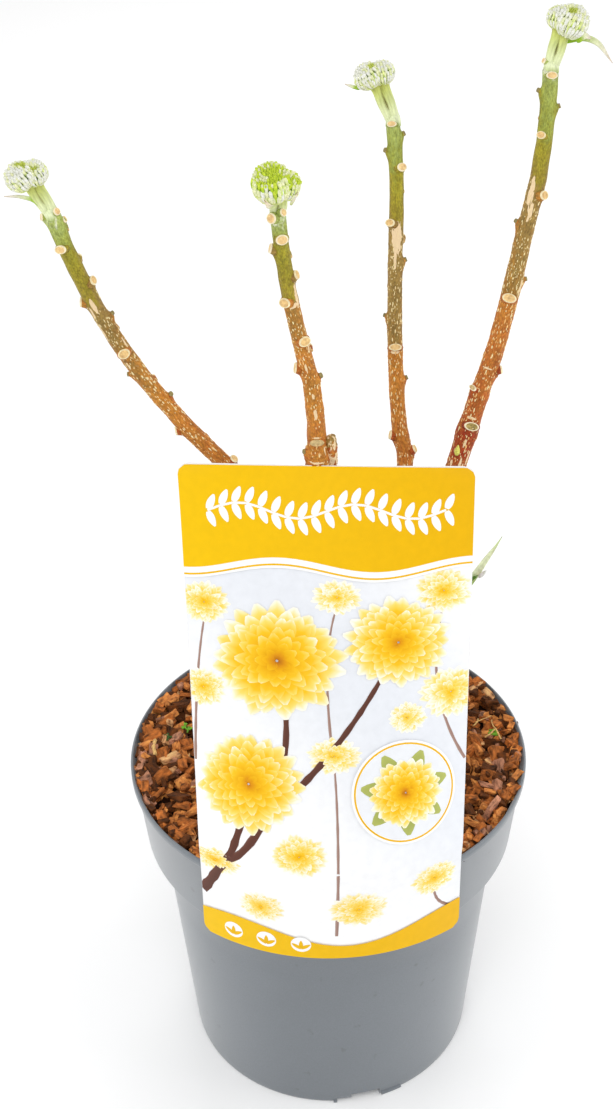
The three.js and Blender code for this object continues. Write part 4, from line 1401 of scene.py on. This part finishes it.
def blade(line, width, fold, thickness):
    """A narrow leaf from a grid: widest a third of the way up, pointed, and folded along its midrib."""
    rings = 30
    bm = bmesh.new()
    share = bm.verts.layers.float.new("share")
    bmesh.ops.create_grid(bm, x_segments=8, y_segments=rings, size=1)
    for vert in bm.verts:
        along_share = (vert.co.y + 1) / 2
        at, along, front, right = station(line, along_share * line[1][-1])
        outline = math.sin(math.pi * min(1, 0.13 + 0.87 * along_share) ** 0.8)
        half = width * MM / 2 * max(0.04, outline) * vert.co.x
        ripple = 0.06 * width * MM * math.sin(along_share * 16) * vert.co.x ** 2
        vert[share] = along_share
        vert.co = at + right * half + front * (fold * abs(half) + ripple)
    bmesh.ops.solidify(bm, geom=bm.faces[:], thickness=thickness)
    face_outwards(bm)
    return bm


def on_dome(dome, way):
    """The place on a dome in a direction from its middle."""
    lengthwise = dome["down"] * way.dot(dome["down"])
    return dome["middle"] + (way - lengthwise) * dome["radius"] + lengthwise * dome["height"]


def inside_other(spot, other):
    """Whether a place is hidden inside the other dome."""
    return (spot - other["middle"]).length < HIDDEN_SHARE * (other["radius"] + other["height"]) / 2


def bud_kind(shares, chance):
    """How a bud away from the eye looks, by chance, from the shares of lime and silver ones there."""
    lime, silver = shares
    return "lime" if chance < lime else "silver" if chance < lime + silver else "pale"


roll = random.Random(33)
bud, hair = bud_shape(), hair_shape()
fingers = {ring: finger_shape(*angles) for ring, (_, *angles) in FINGER_RINGS.items()}
buds = {"silver": [], "pale": [], "lime": [], "olive": []}
hairs, cores, stalks, collars = [], [], [], []
for name, head in HEADS.items():
    stem = STEMS[head["stem"]]
    tip, tip_along, _, _ = station(stem["line"], stem["length"])
    domes = []
    for middle, radius, height, eye, eye_angle in head["domes"]:
        middle = Vector(middle) * MM
        dome = {"middle": middle, "radius": radius * MM, "height": height * MM}
        dome["down"] = (tip - middle).normalized()
        dome["eye"], dome["eye_angle"] = Vector(eye).normalized(), eye_angle
        dome["foot"] = middle + dome["down"] * dome["height"] * FOOT_DEPTH
        domes.append(dome)
    meeting = (domes[0]["foot"] + domes[1]["foot"]) / 2

    for number, dome in enumerate(domes):
        other = domes[1 - number]
        eye, down = dome["eye"], dome["down"]
        eye_right = (Vector((1, 0, 0)) - eye * eye.x).normalized()
        eye_back = eye.cross(eye_right)
        girth = (dome["radius"] + dome["height"]) / 2
        eye_kind = "lime" if head["lime"] else "olive"
        kind_shares = KIND_SHARES[eye_kind]
        count = round(4 * math.pi * girth**2 / (BUD_ROWS * BUD_SPACING**2))
        for n in range(count):
            share = (n + 0.6) / count
            angle = math.acos(1 - 2 * share**SPIRAL_CROWDING)
            turn = n * GOLDEN_TURN
            outward = eye_right * math.cos(turn) + eye_back * math.sin(turn)
            way = outward * math.sin(angle) + eye * math.cos(angle)
            size_jitter, length_jitter, chance, fray = [roll.random() for _ in range(4)]
            if way.dot(-down) < math.cos(math.radians(CROWN_ANGLE)):
                continue
            top = on_dome(dome, way)
            if inside_other(top, other):
                continue
            spacing = BUD_SPACING * math.sqrt(SPIRAL_CROWDING * share ** (SPIRAL_CROWDING - 1))
            radius = spacing * (BUD_FULLNESS[0] + BUD_FULLNESS[1] * size_jitter)
            off_eye = math.degrees(angle) - dome["eye_angle"] + (fray - 0.5) * EYE_FRAY
            kind = eye_kind if off_eye < 0 else bud_kind(kind_shares["crown"], chance)
            if kind == "silver" and off_eye < EYE_EDGE:
                kind = "pale"
            longer = BUD_REACH[0] * (length_jitter - BUD_REACH[1]) * MM
            top += way * (longer - (DIMPLE if off_eye < 0 else 0))
            sideways = top - dome["middle"]
            sideways -= down * sideways.dot(down)
            foot = dome["foot"] + sideways * FOOT_SPREAD
            aim = top - foot
            put = set_on(foot, aim.normalized(), outward + eye * 0.01, (radius, radius, aim.length))
            buds[kind].append((bud, put))
            for _ in range(HAIRS_PER_BUD):
                round_bud, up = roll.uniform(0, math.tau), roll.uniform(*HAIR_FROM)
                girth_there = float(np.interp(up, *zip(*HAIR_GIRTHS))) * HAIR_SUNK
                spot = Vector((math.cos(round_bud) * girth_there, math.sin(round_bud) * girth_there, up))
                out = (put.to_3x3() @ Vector((math.cos(round_bud), math.sin(round_bud), 0))).normalized()
                lay = out * roll.uniform(*HAIR_LEAN_OUT) + aim.normalized() * roll.uniform(*HAIR_LEAN_UP)
                long = roll.uniform(*HAIR_LENGTH) * MM
                beside = eye_right + eye_back * 0.3
                hairs.append((hair, set_on(put @ spot, lay.normalized(), beside, (long, long, long))))

        side_right = (Vector((1, 0, 0)) - down * down.x).normalized()
        side_back = side_right.cross(down)
        for shift, (ring, (base_count, foot_angle, tip_angle, _)) in enumerate(FINGER_RINGS.items()):
            count = round(base_count * (dome["radius"] / (FINGER_DOME * MM)) ** 0.8)
            for n in range(count):
                jitter = roll.uniform(-FINGER_JITTER, FINGER_JITTER)
                turn = math.tau * (n + shift * RING_SHIFT + jitter) / count
                grow, chance = roll.uniform(*FINGER_GROWTH), roll.random()
                outward = side_right * math.cos(turn) + side_back * math.sin(turn)
                low = math.radians((foot_angle + tip_angle) / 2)
                if inside_other(on_dome(dome, outward * math.sin(low) - down * math.cos(low)), other):
                    continue
                frame_axes = Matrix((outward, (-down).cross(outward), -down)).transposed().to_4x4()
                flat, tall = [grow * size / (FINGER_DOME * MM) for size in (dome["radius"], dome["height"])]
                put = Matrix.Translation(dome["middle"]) @ frame_axes @ Matrix.Diagonal((flat, flat, tall, 1))
                kind = bud_kind(kind_shares[ring], chance)
                buds[kind].append((fingers[ring], put))

        bm = bmesh.new()
        bmesh.ops.create_uvsphere(bm, u_segments=20, v_segments=12, radius=CORE_SHARE)
        core_size = (dome["radius"], dome["radius"], dome["height"])
        cores.append((small_shape(bm), set_on(dome["middle"], down, eye_right, core_size)))

        sideways = (Vector((1, 0, 0)) * (2 * number - 1)) * STALKS_APART * MM
        neck = dome["foot"].lerp(meeting, FOOT_PULL)
        bend = tip.lerp(neck, 0.5) + sideways * STALK_BEND_APART
        stalk_ends = (tip + sideways * STALK_FOOT_APART, bend, neck, neck.lerp(dome["middle"], STALK_ENTRY))
        stalk_line = smooth_line([point / MM for point in stalk_ends])
        long = stalk_line[1][-1]

        def stalk_radius(distance, side):
            """The stalk is ribbed and widens where it enters the dome."""
            rib = STALK_RIB * math.sin(math.radians(side * 5))
            flare = STALK_FLARE * (distance / long) ** 5
            return STALK_RADIUS + rib + flare + uneven(distance, side, STALK_UNEVENNESS, number * 3)

        def stalk_seam_shade(distance, side):
            """How near this is to the seam between the two stalks, where painted shade darkens the stalk."""
            inwards = math.cos(math.radians(side - (90 if number == 0 else 270)))
            return max(0, inwards) * min(1, 3 * distance / long)

        stalk_marks = {
            "share": lambda distance, side: COLLAR_SHARE + (1 - COLLAR_SHARE) * distance / long,
            "seam_shade": stalk_seam_shade,
        }
        stalks.append(tube(stalk_line, STALK_SIDES, RING_STEP, stalk_radius, stalk_marks))

    collar_ends = (tip - tip_along * COLLAR_SUNK, tip + tip_along * MM, tip.lerp(meeting, COLLAR_REACH))
    collar_line = smooth_line([point / MM for point in collar_ends])
    collar_length = collar_line[1][-1]

    def collar_radius(distance, side):
        """The collar is as wide as the stem, and its top closes round the two stalks."""
        left = max(0, 1 - distance / collar_length)
        radius = COLLAR_RADIUS * min(1, left * 3) ** 0.5 * (0.86 + 0.14 * left)
        return radius + uneven(distance, side, COLLAR_UNEVENNESS, 6)

    collar_marks = {"share": lambda distance, side: COLLAR_SHARE * min(1, distance / COLLAR_BLEND)}
    collars.append(tube(collar_line, COLLAR_SIDES, RING_STEP, collar_radius, collar_marks))

BUD_FEET = {
    "silver": (202, 224, 150),
    "pale": (184, 210, 104),
    "lime": (118, 150, 22),
    "olive": (150, 160, 56),
}
BUD_TIPS = {
    "silver": ((242, 251, 204), (252, 255, 230)),
    "pale": ((216, 236, 146), (238, 248, 188)),
    "lime": ((176, 204, 50), (202, 222, 66)),
    "olive": ((176, 190, 72), (194, 206, 88)),
}
for kind, places in buds.items():
    foot_skin = mottled(kind + "_bud_foot", BUD_FEET[kind], 0.7, 900, 0.25, 0.0002, 0.2)
    side_skin = mottled(kind + "_bud_side", BUD_TIPS[kind][0], 0.75, 900, 0.14, 0.0003, 0.2)
    tip_skin = mottled(kind + "_bud_tip", BUD_TIPS[kind][1], 0.75, 1200, 0.1, 0.0003, 0.2)
    made = crowd(kind + "_buds", places, [foot_skin, side_skin, tip_skin])
    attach(made, "root")
    if kind == "silver":
        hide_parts(*HEADS)

silk = mottled("silk_down", (252, 254, 234), 0.6, 900, 0.02, 0.0001, 0.3)
core_green = mottled("core_green", (122, 150, 72), 0.85, 900, 0.25, 0.0002, 0.2)
for name, places, material in (("silk_hairs", hairs, silk), ("head_cores", cores, core_green)):
    made = crowd(name, places, [material])
    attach(made, "root")


# Each dome stands on a short green stalk, and a collar of the same tissue joins two stalks to the stem.
# Silky down covers them. They are palest just above the stem, and brown painted shade fills the seam between
# the stalks.
SEAM_SHADE_BROWN = (134, 122, 50)
STALK_TINTS = [
    (0, (166, 184, 98)), (0.1, (224, 232, 188)), (0.35, (222, 230, 178)),
    (0.6, (208, 218, 144)), (0.8, (200, 209, 114)), (1, (176, 180, 74)),
]
stalk_skin = new_material("stalk_skin", (214, 220, 140), 0.6, 0.3)
streaks = add_noise(stalk_skin, 1100, 4, (1, 1, 0.15), kept_mark(stalk_skin, "grain", "Vector"))
stalk_colour = add_ramp(stalk_skin, kept_mark(stalk_skin, "share"), STALK_TINTS)
# Painted shade: the stalk turns brown towards the seam where it meets the other stalk.
seam_shaded = spread_over(stalk_skin, kept_mark(stalk_skin, "seam_shade"), 0.55, 0.95)
stalk_colour = laid_over(stalk_skin, stalk_colour, SEAM_SHADE_BROWN, reckon(stalk_skin, "MULTIPLY", seam_shaded, 0.8))
set_colour(stalk_skin, add_shade(stalk_skin, stalk_colour, streaks, 0.76, 1.16))
add_bump(stalk_skin, streaks, 0.0004)
for label, shapes in (("stalk", stalks), ("collar", collars)):
    for number, bm in enumerate(shapes):
        made = finished(bm, f"{label}_{number + 1}", [stalk_skin])
        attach(made, "root")


# The bracts are the narrow leaves that wrapped a head while it was small. They stand out from under it,
# folded along the midrib, green or cream at the foot and dry at the tip.
BRACT_FOLD = 0.35
BRACT_THICKNESS = 0.3 * MM
BRACT_TINTS = {
    "green": [
        (0, (140, 184, 24)), (0.3, (168, 202, 60)), (0.5, (222, 230, 180)),
        (0.8, (236, 230, 208)), (1, (216, 196, 178)),
    ],
    "cream": [(0, (196, 208, 132)), (0.35, (232, 228, 196)), (0.8, (240, 224, 196)), (1, (150, 116, 70))],
}


def leaf_skin(name, tints, roughness, specular, shade, grain, bump):
    """The skin of a leaf, tinted from its foot to its tip, with light and dark mottling and a fine grain."""
    skin = new_material(name, tints[1][1], roughness, specular)
    tint = add_ramp(skin, kept_mark(skin, "share"), tints)
    set_colour(skin, add_shade(skin, tint, add_noise(skin, *shade[:2]), *shade[2:]))
    add_bump(skin, add_noise(skin, grain, 3), bump)
    return skin


bract_skins = {
    kind: leaf_skin(kind + "_bract_skin", tints, 0.6, 0.3, (900, 3, 0.88, 1.1), 1200, 0.0003)
    for kind, tints in BRACT_TINTS.items()
}
for name, head in HEADS.items():
    skin = bract_skins["cream" if head["lime"] else "green"]
    for number, (path, width) in enumerate(head["bracts"]):
        bm = blade(smooth_line(path), width, BRACT_FOLD, BRACT_THICKNESS)
        bract = finished(bm, name.replace("head", "bract") + f"_{number + 1}", [skin])
        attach(bract, "root")


# A young shoot grows low on the trunk, a thin green twig with three narrow leaves at its end and a
# downy bud between them. Only a pale leaf, a short green one and the bud show beside the card.
SHOOT_PATH = ((4, 2, 206), (22, 3, 217), (46, 6, 237), (61, 8, 257))
SHOOT_RADIUS = 1.3 * MM
SHOOT_LEAVES = (
    (((60, 8, 256), (68.4, 7, 272.6), (73.8, 7, 281.9), (79.3, 7, 292)), 3.7, "pale"),
    (((59, 8, 254.5), (64.5, 7.5, 267), (70, 6.4, 271.6)), 4, "deep"),
    (((58, 8, 253), (61, 12, 266), (60, 15, 279)), 4, "deep"),
)
LEAF_FOLD = 0.4
LEAF_THICKNESS = 0.35 * MM
LEAF_TINTS = {
    "pale": [
        (0, (140, 190, 62)), (0.3, (174, 212, 98)), (0.46, (244, 252, 212)),
        (0.8, (238, 249, 200)), (1, (206, 230, 158)),
    ],
    "deep": [(0, (170, 196, 90)), (0.4, (118, 164, 48)), (1, (88, 138, 36))],
}
SHOOT_BUD = ((69.4, 5.4, 270.4), (72.8, 4.8, 274.8), 2)
SHOOT_BUD_OUTLINE = [(0, 0), (0.6, 0.05), (1, 0.35), (0.8, 0.7), (0.3, 0.95), (0, 1)]

shoot_bark = mottled("shoot_bark", (150, 166, 70), 0.5, 500, 0.2, 0.0003)
bm = tube(smooth_line(SHOOT_PATH), 20, 0.8 * MM, lambda d, s: SHOOT_RADIUS + uneven(d, s, 0.15 * MM, 40))
shoot = finished(bm, "shoot_twig", [shoot_bark])
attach(shoot, "root")
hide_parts("side_shoot")

leaf_skins = {
    kind: leaf_skin(kind + "_leaf_skin", tints, 0.45, 0.4, (500, 4, 0.85, 1.12), 900, 0.0004)
    for kind, tints in LEAF_TINTS.items()
}
for number, (path, width, kind) in enumerate(SHOOT_LEAVES):
    bm = blade(smooth_line(path), width, LEAF_FOLD, LEAF_THICKNESS)
    leaf = finished(bm, f"shoot_leaf_{number + 1}", [leaf_skins[kind]])
    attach(leaf, "root")

foot, tip, thick = SHOOT_BUD
bm = turned(SHOOT_BUD_OUTLINE, 12)
reach = (Vector(tip) - Vector(foot)) * MM
size = (thick / 2 * MM, thick / 2 * MM, reach.length)
put = set_on(Vector(foot) * MM, reach.normalized(), Vector((0, 1, 0)), size)
bmesh.ops.transform(bm, matrix=put, verts=bm.verts)
downy = finished(bm, "shoot_bud", [mottled("downy_bud", (252, 254, 236), 0.75, 900, 0.12, 0.0004, 0.2)])
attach(downy, "root")


# The card is a stiff printed sheet with round corners. It hooks over the lip, hangs round the collar
# and then leans back on the stems, where it grows flatter and turns a little.
CARD_WIDTH = 125.4 * MM
CARD_LENGTH = 232.4 * MM
CARD_THICKNESS = 0.6 * MM
CARD_HANG = 41.3 * MM
CARD_RADIUS = 96 * MM
CARD_LEAN = math.radians(23.7)
CARD_TURN_START = 2 * MM
CARD_TURN_LENGTH = 20 * MM
CARD_SWING = math.radians(0.56)
CARD_TWIST = math.radians(-3.25)
CARD_CORNER = 5 * MM
CARD_STEPS = 240
CARD_CELL = 2.6 * MM
FLATTEST_BEND = 0.01
HOOK_WIDTH = 14 * MM
HOOK_DROP = 4.5 * MM
HOOK_INSET = 2.7 * MM
HOOK_GAP = 0.3 * MM
HOOK_EDGE = 0.12 * MM
CARD_WHITE = (247, 247, 247)

stride = CARD_LENGTH / CARD_STEPS
side_view = [(-CARD_RADIUS, POT_HEIGHT - CARD_HANG, 0)]
for step in range(1, CARD_STEPS + 1):
    turned_share = min(max((step * stride - CARD_HANG - CARD_TURN_START) / CARD_TURN_LENGTH, 0), 1)
    lean = CARD_LEAN * turned_share**2 * (3 - 2 * turned_share)
    y, z, _ = side_view[-1]
    side_view.append((y + stride * math.sin(lean), z + stride * math.cos(lean), lean))


def card_point(across, up, out):
    """A place on the card: across from its middle line, up from its foot and out from its mid face."""
    place = min(max(up / stride, 0), CARD_STEPS - 0.001)
    near, far = side_view[int(place)], side_view[int(place) + 1]
    y, z, lean = [a + (b - a) * (place - int(place)) for a, b in zip(near, far)]
    first = CARD_HANG + CARD_TURN_START
    above = min(max((up - first) / (CARD_LENGTH - first), 0), 1)
    bend = max(math.sqrt(1 - above) / CARD_RADIUS, FLATTEST_BEND)
    radius = 1 / bend + out
    behind = 1 / bend - radius * math.cos(bend * across)
    point = Vector((radius * math.sin(bend * across), behind * math.cos(lean), -behind * math.sin(lean)))
    point = Matrix.Rotation(CARD_TWIST * above, 3, "Z") @ point + Vector((0, y, z))
    return Matrix.Rotation(CARD_SWING, 3, "Z") @ point


def half_width(up):
    """Half the card's width at a height, less at its round corners."""
    short = max(0, CARD_CORNER - min(up, CARD_LENGTH - up))
    return CARD_WIDTH / 2 - CARD_CORNER + math.sqrt(max(0, CARD_CORNER**2 - short**2))


def card_rows(share):
    """A height up the card, with the rows closer together at its round corners."""
    return CARD_LENGTH * (share - math.sin(math.tau * share) / math.tau * 0.55)


bm = bmesh.new()
bmesh.ops.create_grid(
    bm, x_segments=round(CARD_WIDTH / CARD_CELL), y_segments=round(CARD_LENGTH / CARD_CELL * 1.2), size=0.5
)
for vert in bm.verts:
    up = card_rows(vert.co.y + 0.5)
    vert.co = card_point(2 * vert.co.x * half_width(up), up, CARD_THICKNESS / 2)
face_outwards(bm)
bmesh.ops.solidify(bm, geom=bm.faces[:], thickness=CARD_THICKNESS)
face_outwards(bm)
card_stock = mottled("card_stock", CARD_WHITE, 0.42, 40, 0.006, 0.00001, 0.3)
card = finished(bm, "card_sheet", [card_stock])
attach(card, "root")
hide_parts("card")

hook_out = -CARD_RADIUS + CARD_THICKNESS / 2
hook_in = -LIP_BORE + HOOK_INSET
hook_low = POT_HEIGHT + HOOK_GAP
bm = bmesh.new()
hook_foot = POT_HEIGHT - HOOK_DROP
tongue = [
    (hook_out, hook_low), (hook_in - CARD_THICKNESS, hook_low), (hook_in - CARD_THICKNESS, hook_foot),
    (hook_in, hook_foot), (hook_in, hook_low + CARD_THICKNESS), (hook_out, hook_low + CARD_THICKNESS),
]
face = bm.faces.new([bm.verts.new((-HOOK_WIDTH / 2, y, z)) for y, z in tongue])
grown = bmesh.ops.extrude_face_region(bm, geom=[face])["geom"]
bmesh.ops.translate(bm, verts=corners_in(grown), vec=(HOOK_WIDTH, 0, 0))
face_outwards(bm)
bevelled(bm, HOOK_EDGE, 2)
hook = finished(bm, "card_hook", [card_stock])
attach(hook, "root")


# The print on the card is a plain flower design in golden yellow, cream and brown: a yellow head band
# with a white garland, blossoms on a branch, a round medallion and a waved foot. Each ink is a thin
# film on the card, cut from grids in the card's own flat measure and then bent with it.
FILM = 0.028 * MM
HEAD_FOOT = 190 * MM
HEAD_WAVE = 3 * MM
FOOT_TOP = 13 * MM
FOOT_WAVE = 5 * MM
MEDALLION = (33 * MM, 88 * MM, 24 * MM)
PETAL_CELLS = (4, 6)
PETAL_BRIGHTNESS = 0.07
PETAL_SWING = 0.08
PETAL_REACH = (0.92, 1.04)
PETAL_EDGE_LIGHT = 0.16
# Rings of petals from the outside in: how many, from where to where, width, and tones at root and tip.
PETAL_RINGS = (
    (21, 0.5, 1, 0.3, 0.5, 0.98), (21, 0.42, 0.88, 0.28, 0.36, 0.94), (19, 0.32, 0.75, 0.26, 0.3, 0.9),
    (16, 0.22, 0.62, 0.24, 0.24, 0.86), (13, 0.14, 0.48, 0.22, 0.2, 0.8),
    (10, 0.08, 0.35, 0.19, 0.14, 0.7), (7, 0.02, 0.22, 0.15, 0.06, 0.5),
)
PRINT_INSET = 0.25 * MM
GARLAND_UP = 213 * MM
GARLAND_STEP = 5.6 * MM
GARLAND_RISE = 3.2 * MM
GARLAND_TURN = 0.72
GARLAND_LEAVES = 9
PETAL_TONES = [
    (0, (170, 96, 16)), (0.2, (222, 146, 10)), (0.42, (240, 178, 10)), (0.66, (250, 198, 34)),
    (0.84, (252, 222, 110)), (0.94, (254, 240, 190)), (1, (255, 252, 240)),
]
SKY_TONES = [(0, (232, 235, 241)), (0.5, (246, 247, 249)), (1, (254, 254, 254))]
INKS = {
    "sky_ink": SKY_TONES,
    "petal_ink": PETAL_TONES,
    "yellow_ink": [(0, (234, 178, 0)), (1, (244, 196, 0))],
    "twig_ink": [(0, (70, 40, 34)), (0.5, (104, 64, 52)), (1, (178, 148, 136))],
    "leaf_ink": [(0, (120, 132, 40)), (1, (190, 196, 110))],
    "white_ink": [(0, (244, 244, 244)), (1, (252, 252, 252))],
}
# Blossoms: place across and up, radius and squash in millimetres and shares, paleness, and film.
BLOSSOMS = (
    (50, 178, 13, 0.8, 0.5, 3), (-54, 172, 12, 0.8, 0.5, 3), (4, 176, 11, 0.7, 0.6, 3),
    (54, 132, 15, 0.8, 0.55, 3), (-56, 134, 11, 0.8, 0.5, 3), (2, 106, 12, 0.7, 0.55, 3),
    (-54, 50, 13, 0.75, 0.45, 3), (-14, 60, 13, 0.8, 0.45, 3), (12, 30, 14, 0.75, 0.5, 3),
    (48, 38, 12, 0.8, 0.5, 3), (-32, 28, 11, 0.8, 0.5, 3), (34, 122, 9, 0.8, 0.6, 3),
    (-22, 148, 30, 0.86, 0, 8), (30, 156, 24, 0.84, 0.08, 12), (-36, 92, 26, 0.9, 0.04, 8),
)
# Twigs: start, bend and end in millimetres, width at both ends, film, and tone.
TWIGS = (
    ((-62, 26), (-44, 56), (-36, 88), 4.6, 2.4, 6, 0.3),
    ((-48, 52), (-12, 84), (-20, 140), 3.6, 2, 6, 0.35),
    ((-13, 92), (10, 116), (28, 150), 2.8, 1.6, 6, 0.3),
    ((62, 100), (40, 132), (50, 172), 1.4, 0.8, 2, 0.8),
    ((62, 14), (46, 20), (48, 36), 1.6, 1, 2, 0.75),
    ((2, 14), (4, 70), (2, 100), 1.4, 0.8, 2, 0.8),
    ((-62, 100), (-60, 140), (-54, 166), 1.4, 0.8, 2, 0.8),
    ((2, 100), (-4, 150), (4, 172), 1.2, 0.7, 2, 0.8),
)

films = {name: bmesh.new() for name in INKS}
tones = {name: bm.verts.layers.float.new("tone") for name, bm in films.items()}
roll = random.Random(52)


def patch(ink, cells, layer, shape):
    """A grid of ink. shape takes a place on it, 0 to 1 both ways, and gives it across, up and in tone."""
    bm = films[ink]
    for vert in bmesh.ops.create_grid(bm, x_segments=cells[0], y_segments=cells[1], size=0.5)["verts"]:
        across, up, tone = shape(vert.co.x + 0.5, vert.co.y + 0.5)
        vert.co = (across, up, layer * FILM)
        vert[tones[ink]] = tone


def ring_patch(ink, centre, inner, outer, layer, tone):
    """A ring, or a round spot where the inner radius is 0."""
    def shape(u, v):
        radius = inner + (outer - inner) * v
        return centre[0] + radius * math.cos(math.tau * u), centre[1] + radius * math.sin(math.tau * u), tone
    patch(ink, (56, max(1, math.ceil((outer - inner) / CARD_CELL))), layer, shape)


def petal(ink, centre, heading, near, far, width, squash, layer, low, high):
    """One petal, pointing away from a blossom's middle, in a tone that changes from its root to its tip."""
    bright = roll.uniform(-PETAL_BRIGHTNESS, PETAL_BRIGHTNESS)

    def shape(u, v):
        half = width / 2 * math.sin(math.pi * min(1, 0.1 + 0.86 * v) ** 0.85) ** 0.7
        out, beside = near + (far - near) * v, (u - 0.5) * 2 * half
        across = out * math.cos(heading) - beside * math.sin(heading)
        up = (out * math.sin(heading) + beside * math.cos(heading)) * squash
        tone = low + (high - low) * v + bright + PETAL_EDGE_LIGHT * abs(u - 0.5)
        return centre[0] + across, centre[1] + up, min(max(tone, 0), 1)
    patch(ink, PETAL_CELLS, layer, shape)


def blossom(centre, radius, squash, paleness, layer):
    """A full blossom of many rings of petals, cream outside and deep gold at its heart."""
    start = roll.uniform(0, math.tau)
    for number, (count, near, far, width, low, high) in enumerate(PETAL_RINGS):
        low, high = low + (1 - low) * paleness, high + (1 - high) * paleness
        for n in range(count):
            swing = roll.uniform(-PETAL_SWING, PETAL_SWING)
            heading = start + (n + number / 2) * math.tau / count + swing
            reach = far * radius * roll.uniform(*PETAL_REACH)
            film = layer + number + n % 2 * 0.5
            sizes = (near * radius, reach, width * radius, squash)
            petal("petal_ink", centre, heading, *sizes, film, low, high)


def ribbon(ink, start, middle, end, widths, layer, tone):
    """A bent band of ink that tapers from one width to another."""
    def shape(u, v):
        bend = [a * (1 - v) ** 2 + 2 * b * v * (1 - v) + c * v**2 for a, b, c in zip(start, middle, end)]
        slope = [(b - a) * (1 - v) + (c - b) * v for a, b, c in zip(start, middle, end)]
        long = math.hypot(*slope)
        beside = (u - 0.5) * (widths[0] + (widths[1] - widths[0]) * v)
        off = beside * (1 + 0.25 * math.sin(v * 23) ** 4)
        shaded = tone + 0.35 * abs(u - 0.35)
        return bend[0] - slope[1] / long * off, bend[1] + slope[0] / long * off, shaded
    patch(ink, (3, 26), layer, shape)


def head_edge(share):
    """The lower edge of the head band, in three shallow waves."""
    return HEAD_FOOT - HEAD_WAVE * math.cos(share * math.tau * 1.5)


def foot_edge(share):
    """The upper edge of the foot band."""
    return FOOT_TOP + FOOT_WAVE * math.sin(share * math.tau * 1.2 + 0.5)


def band(ink, low, high, layer, tone, rows):
    """A band right across the card between two edges."""
    def shape(u, v):
        up = low(u) + (high(u) - low(u)) * v
        return (2 * u - 1) * (half_width(up) - PRINT_INSET), up, tone(u, v)
    patch(ink, (round(CARD_WIDTH / CARD_CELL), rows), layer, shape)


def sky_tone(u, v):
    """The pale ground behind the blossoms, in soft waves of tone."""
    return 0.5 + 0.5 * math.sin(3 * u + 4 * v)


def below_head(drop):
    """The head band's lower edge, moved down the card."""
    return lambda share: head_edge(share) - drop


band("sky_ink", lambda u: 2 * MM, lambda u: HEAD_FOOT, 1, sky_tone, 76)
for across, up, radius, squash, paleness, layer in BLOSSOMS:
    blossom((across * MM, up * MM), radius * MM, squash, paleness, layer)
for start, middle, end, thick, thin, layer, tone in TWIGS:
    places = [(across * MM, up * MM) for across, up in (start, middle, end)]
    ribbon("twig_ink", *places, (thick * MM, thin * MM), layer, tone)
for bm in films.values():
    for clear in (-1, 1):
        bmesh.ops.bisect_plane(
            bm, geom=bm.verts[:] + bm.edges[:] + bm.faces[:], plane_no=(clear, 0, 0),
            plane_co=(clear * (CARD_WIDTH / 2 - PRINT_INSET), 0, 0), clear_outer=True,
        )

band("white_ink", below_head(4.5 * MM), below_head(-MM), 18, lambda u, v: 1, 3)
band("yellow_ink", below_head(3.4 * MM), below_head(2.6 * MM), 19, lambda u, v: 0.5, 1)
band("yellow_ink", head_edge, lambda u: CARD_LENGTH - PRINT_INSET, 19, lambda u, v: 1 - u * 0.8, 20)
band("yellow_ink", lambda u: PRINT_INSET, foot_edge, 18, lambda u, v: 1 - u * 0.8, 8)
garland = [
    (n * GARLAND_STEP, GARLAND_UP + GARLAND_RISE * math.sin(n * GARLAND_TURN))
    for n in range(-GARLAND_LEAVES, GARLAND_LEAVES + 1)
]
for here, after in zip(garland, garland[1:] + [None]):
    if after:
        middle = ((here[0] + after[0]) / 2, (here[1] + after[1]) / 2)
        ribbon("white_ink", here, middle, after, (0.9 * MM, 0.9 * MM), 20, 1)
    for heading in (1.15, -1.15):
        petal("white_ink", here, heading, 0.6 * MM, 7.6 * MM, 3.4 * MM, 1, 21, 1, 1)
for n in range(3):
    spot = ((-46 + n * 16) * MM, 8.5 * MM)
    ring_patch("white_ink", spot, 0, 4.6 * MM, 20, 1)
    for heading in (0.6, 1.57, 2.54):
        petal("yellow_ink", (spot[0], spot[1] - 2.6 * MM), heading, 0, 5 * MM, 2 * MM, 1, 21, 0.3, 0.5)

centre, medallion = MEDALLION[:2], MEDALLION[2]
ring_patch("white_ink", centre, 0, medallion, 18, 1)
ring_patch("yellow_ink", centre, medallion - 1.9 * MM, medallion - 1.1 * MM, 19, 0.4)
ring_patch("sky_ink", centre, 0, medallion - 2.2 * MM, 19, 0.2)
for n in range(7):
    heading = n * math.tau / 7 + 0.3
    petal("leaf_ink", centre, heading, 6 * MM, 20 * MM, 8 * MM, 1, 20 + n % 2, 0.2, 0.8)
blossom(centre, 17.5 * MM, 0.95, 0, 22)

for name, stops in INKS.items():
    bm = films[name]
    bmesh.ops.remove_doubles(bm, verts=bm.verts, dist=MERGED)
    for vert in bm.verts:
        vert.co = card_point(vert.co.x, vert.co.y, CARD_THICKNESS / 2 + vert.co.z)
    for face in bm.faces:
        if face.normal.dot(Vector((0, -1, 0.2))) < 0:
            face.normal_flip()
    ink = new_material(name, stops[0][1], 0.42, 0.16)
    colour = add_ramp(ink, kept_mark(ink, "tone"), stops)
    set_colour(ink, add_shade(ink, colour, add_noise(ink, 260, 3), 0.97, 1.02))
    film = finished(bm, name.replace("_ink", "_print"), [ink])
    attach(film, "root")
